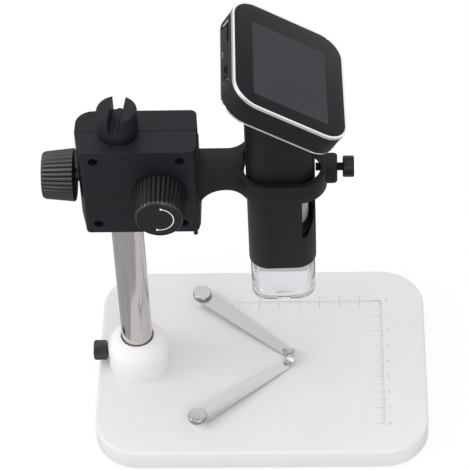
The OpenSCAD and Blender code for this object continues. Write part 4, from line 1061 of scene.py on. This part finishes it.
def outside(middle, margin):
    """True for a point on the head's outline, or closer to it than a margin."""
    return (
        abs(middle.x) > half_w - margin or abs(middle.y) > half_l - margin
        or math.hypot(abs(middle.x) - half_w + corner, abs(middle.y) - half_l + corner)
        > corner - margin
    )


# %% Rear shell
tray = own_copy("head_rear_shell", "head_tray", lean)
line_top = 0.8 * mm  # the tray starts above the thin line at the back
round_edges(
    tray, 0.6 * mm, 3,
    lambda middle, way: abs(way.z) < 0.02 and abs(middle.z - line_top) < near
    and (abs(middle.x) > half_w - 5 * mm or abs(middle.y) > half_l - 5 * mm),
)
put_back(tray, lean)
smooth(tray, 32)
place(tray, black_barrel, "microscope", "barrel_black", "head_rear_shell")

# %% [markdown]
# The left wall also carries a narrow status window and two pin-sized marks beside the USB
# port. They are a thin slab and discs set into the wall, because each is under a millimetre
# tall.

# %% Small marks on the left wall
marks = [slab(
    "status_window", (-half_w - 0.04 * mm, 0.3 * mm, 2.5 * mm),
    (0.3 * mm - half_w, 4.1 * mm, 3.1 * mm), 0)]
for y, z in ((-17.4, 7.1), (-17.8, 4.0)):
    marks.append(settle(add(
        "cylinder", "pin_mark", vertices=20, radius=0.45 * mm, depth=0.3 * mm,
        location=(0.11 * mm - half_w, y * mm, z * mm), rotation=(0, math.pi / 2, 0),
    )))
wall_marks = joined(marks, "wall_marks")
put_back(wall_marks, lean)
place(wall_marks, port_metal, "microscope", "barrel_black")

# %% [markdown]
# A plated pin crosses the strap slot in the head's upper left corner, where a wrist strap is
# tied on. It is made near the corner's own centre and then turned round it to its place.

# %% Strap pin
strap_angle = 154
strap_pin = slab(
    "strap_pin", (9.85 * mm, 4.1 * mm, 2.3 * mm), (10.75 * mm, 5 * mm, 7.7 * mm), 0)
round_edges(strap_pin, 0.25 * mm, 3, lambda middle, way: abs(way.z) > 0.9)
strap_corner = (
    Matrix.Translation((corner - half_w, half_l - corner, 0))
    @ Matrix.Rotation(math.radians(strap_angle), 4, "Z")
)
put_back(strap_pin, lean @ strap_corner)
smooth(strap_pin, 40)
place(strap_pin, chrome_trim, "microscope", "plated_trim")

# %% [markdown]
# The chrome frame holds the cover glass. Only its upper part is plated. Its faces are divided
# all round where the plating ends, and those below get the tray's black finish.

# %% Chrome frame and rear line
front = own_copy("head_front_frame", "head_frame", lean)
round_edges(
    front, 0.75 * mm, 5,
    lambda middle, way: abs(way.z) < 0.02 and middle.z > thick - near
    and outside(middle, 0.3 * mm),
)
unplated = 1 * mm
band_low = min(vertex.co.z for vertex in front.data.vertices) + unplated
choose(front, "FACE", lambda middle, normal: True)
bpy.ops.mesh.bisect(plane_co=(0, 0, band_low), plane_no=(0, 0, 1))
begin()
two_finishes(front, chrome_trim, black_barrel, lambda face: face.center.z < band_low)
put_back(front, lean)
smooth(front, 32)
place(front, chrome_trim, "microscope", "plated_trim", "head_front_frame")

trim = own_copy("head_rear_trim", "head_rear_line", lean)
put_back(trim, lean)
smooth(trim, 32)
place(trim, chrome_trim, "microscope", "plated_trim", "head_rear_trim")

# %% [markdown]
# The cover glass is black round its border and shows the grey screen in the middle. It is one
# slab with a softly rounded edge, and the screen's window is a very thin slab on top of it.

# %% Cover glass and screen window
inset = 0.8 * mm
left, right, bottom, top = -18.66 * mm, 18.80 * mm, -25.32 * mm, 20.94 * mm
glass = slab(
    "cover_glass", (inset - half_w, inset - half_l, thick - 1 * mm),
    (half_w - inset, half_l - inset, thick), corner - inset, 24,
)
round_edges(glass, 0.3 * mm, 3, lambda middle, way: middle.z > thick - near)
put_back(glass, lean)
smooth(glass, 30)
place(glass, glass_black, "microscope", "dark_glass", "front_glass")

window = slab(
    "screen_window", (left, bottom, thick - 0.04 * mm), (right, top, thick + 0.02 * mm), 0,
)
put_back(window, lean)
place(window, screen_off, "microscope", "screen")

# %% [markdown]
# ## Finishes for the remaining parts
# The other measured parts already have the right shape, so they only get a finish.

# %% Finishes by part
kept = {
    dark_inner: ["base_plate", "pole_bushing", "lens_carrier"],
    black_moulded: ["wheel_retainers"],
    rubber_black: ["rubber_feet"],
    screw_steel: ["base_screws", "focus_shaft", "slide_screws", "housing_screws",
                  "carrier_guide_pin"],
    dark_steel: ["clamp_stud", "socket_screw_stud", "block_screws", "slide_stop_pin"],
    brass: ["socket_insert", "clamp_nut", "shaft_bushings", "clamp_pad", "focus_pinion",
            "focus_rack", "ring_insert"],
    board_green: ["lamp_board", "sensor_board", "main_board"],
    lamp_white: ["lamp_leds"],
    cell_foil: ["battery"],
    screen_off: ["lcd_panel"],
    port_metal: ["usb_port", "card_slot", "tact_switches"],
    lens_clear: ["lens_glass"],
    black_smooth: ["side_key_1", "side_key_2", "side_key_3", "side_key_4"],
}
for finish, nodes in kept.items():
    for node in nodes:
        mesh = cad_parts[node].data
        mesh.materials.clear()
        mesh.materials.append(finish)
print("kept parts:", sum(len(nodes) for nodes in kept.values()))

# %% [markdown]
# ## Floor, light and background
# The floor is a large pale plane that keeps a soft shadow. For the camera and through clear
# plastic it also glows white, so that it runs into the white background. Shiny faces see the
# glow much dimmer, so that black parts don't turn grey.


# %% Floor
def shown_white(nodes, links):
    """Light path node, and a value that is 1 for camera, glossy and transmitted rays."""
    rays = nodes.new("ShaderNodeLightPath")
    first, second = nodes.new("ShaderNodeMath"), nodes.new("ShaderNodeMath")
    first.operation = second.operation = "MAXIMUM"
    links.new(rays.outputs["Is Camera Ray"], first.inputs[0])
    links.new(rays.outputs["Is Glossy Ray"], first.inputs[1])
    links.new(first.outputs[0], second.inputs[0])
    links.new(rays.outputs["Is Transmission Ray"], second.inputs[1])
    return rays, second.outputs[0]


glow_share, glossy_drop = 0.85, -0.62
floor = add("plane", "studio_floor", size=6, location=(0, 0, 0))
paper, paper_shader = new_finish("paper", (0.92, 0.92, 0.92), 0.9)
nodes, links = paper.node_tree.nodes, paper.node_tree.links
rays, shown = shown_white(nodes, links)
glow = nodes.new("ShaderNodeEmission")
glow.inputs["Color"].default_value = (1, 1, 1, 1)
share = nodes.new("ShaderNodeMath")
share.operation = "MULTIPLY"
share.inputs[1].default_value = glow_share
dim = nodes.new("ShaderNodeMath")
dim.operation = "MULTIPLY_ADD"
dim.inputs[1].default_value = glossy_drop
dim.inputs[2].default_value = 1.0
mix = nodes.new("ShaderNodeMixShader")
links.new(rays.outputs["Is Glossy Ray"], dim.inputs[0])
links.new(dim.outputs[0], glow.inputs["Strength"])
links.new(shown, share.inputs[0])
links.new(share.outputs[0], mix.inputs["Fac"])
links.new(paper_shader.outputs["BSDF"], mix.inputs[1])
links.new(glow.outputs["Emission"], mix.inputs[2])
links.new(mix.outputs["Shader"], nodes["Material Output"].inputs["Surface"])
floor.data.materials.append(paper)
print("floor:", round(floor.dimensions.x, 2), "m wide")

# %% [markdown]
# Light comes from a big soft panel above, a smaller one from the left and one from the
# front. Soft panels are chosen because moulded plastic under a small lamp looks wet.


# %% Lamps
def panel(name, at, aim, size, power):
    """Square soft lamp at one place, aimed at another."""
    begin()
    bpy.ops.object.light_add(type="AREA", location=at)
    lamp = bpy.context.object
    lamp.name = name
    lamp.data.size = size
    lamp.data.energy = power
    lamp.rotation_euler = (Vector(aim) - Vector(at)).to_track_quat("-Z", "Y").to_euler()
    print(name, power, "W")


panel("top_panel", (0.0, -0.1, 1.4), (0, 0, 0.08), 1.0, 5)
panel("left_panel", (-1.2, -0.2, 0.8), (-0.02, 0, 0.1), 0.8, 6)
panel("front_panel", (0.4, -1.2, 0.9), (0, 0, 0.1), 0.8, 4)

# %% [markdown]
# A white surround fills the shadows. Its light on dull faces is weaker than the white that
# the camera and the shiny faces see, so that the background is white and the base stays a
# little darker.

# %% World
fill_strength = 0.74
world = bpy.data.worlds.new("white_surround")
bpy.context.scene.world = world
world.use_nodes = True
nodes, links = world.node_tree.nodes, world.node_tree.links
nodes.clear()
out = nodes.new("ShaderNodeOutputWorld")
shown = shown_white(nodes, links)[1]
fill = nodes.new("ShaderNodeBackground")
fill.inputs["Color"].default_value = (1, 1, 1, 1)
fill.inputs["Strength"].default_value = fill_strength
white = nodes.new("ShaderNodeBackground")
white.inputs["Color"].default_value = (1, 1, 1, 1)
white.inputs["Strength"].default_value = 1.0
mix = nodes.new("ShaderNodeMixShader")
links.new(shown, mix.inputs["Fac"])
links.new(fill.outputs["Background"], mix.inputs[1])
links.new(white.outputs["Background"], mix.inputs[2])
links.new(mix.outputs["Shader"], out.inputs["Surface"])
bpy.context.scene.view_settings.view_transform = "Standard"
print("surround:", fill_strength, "on the object")
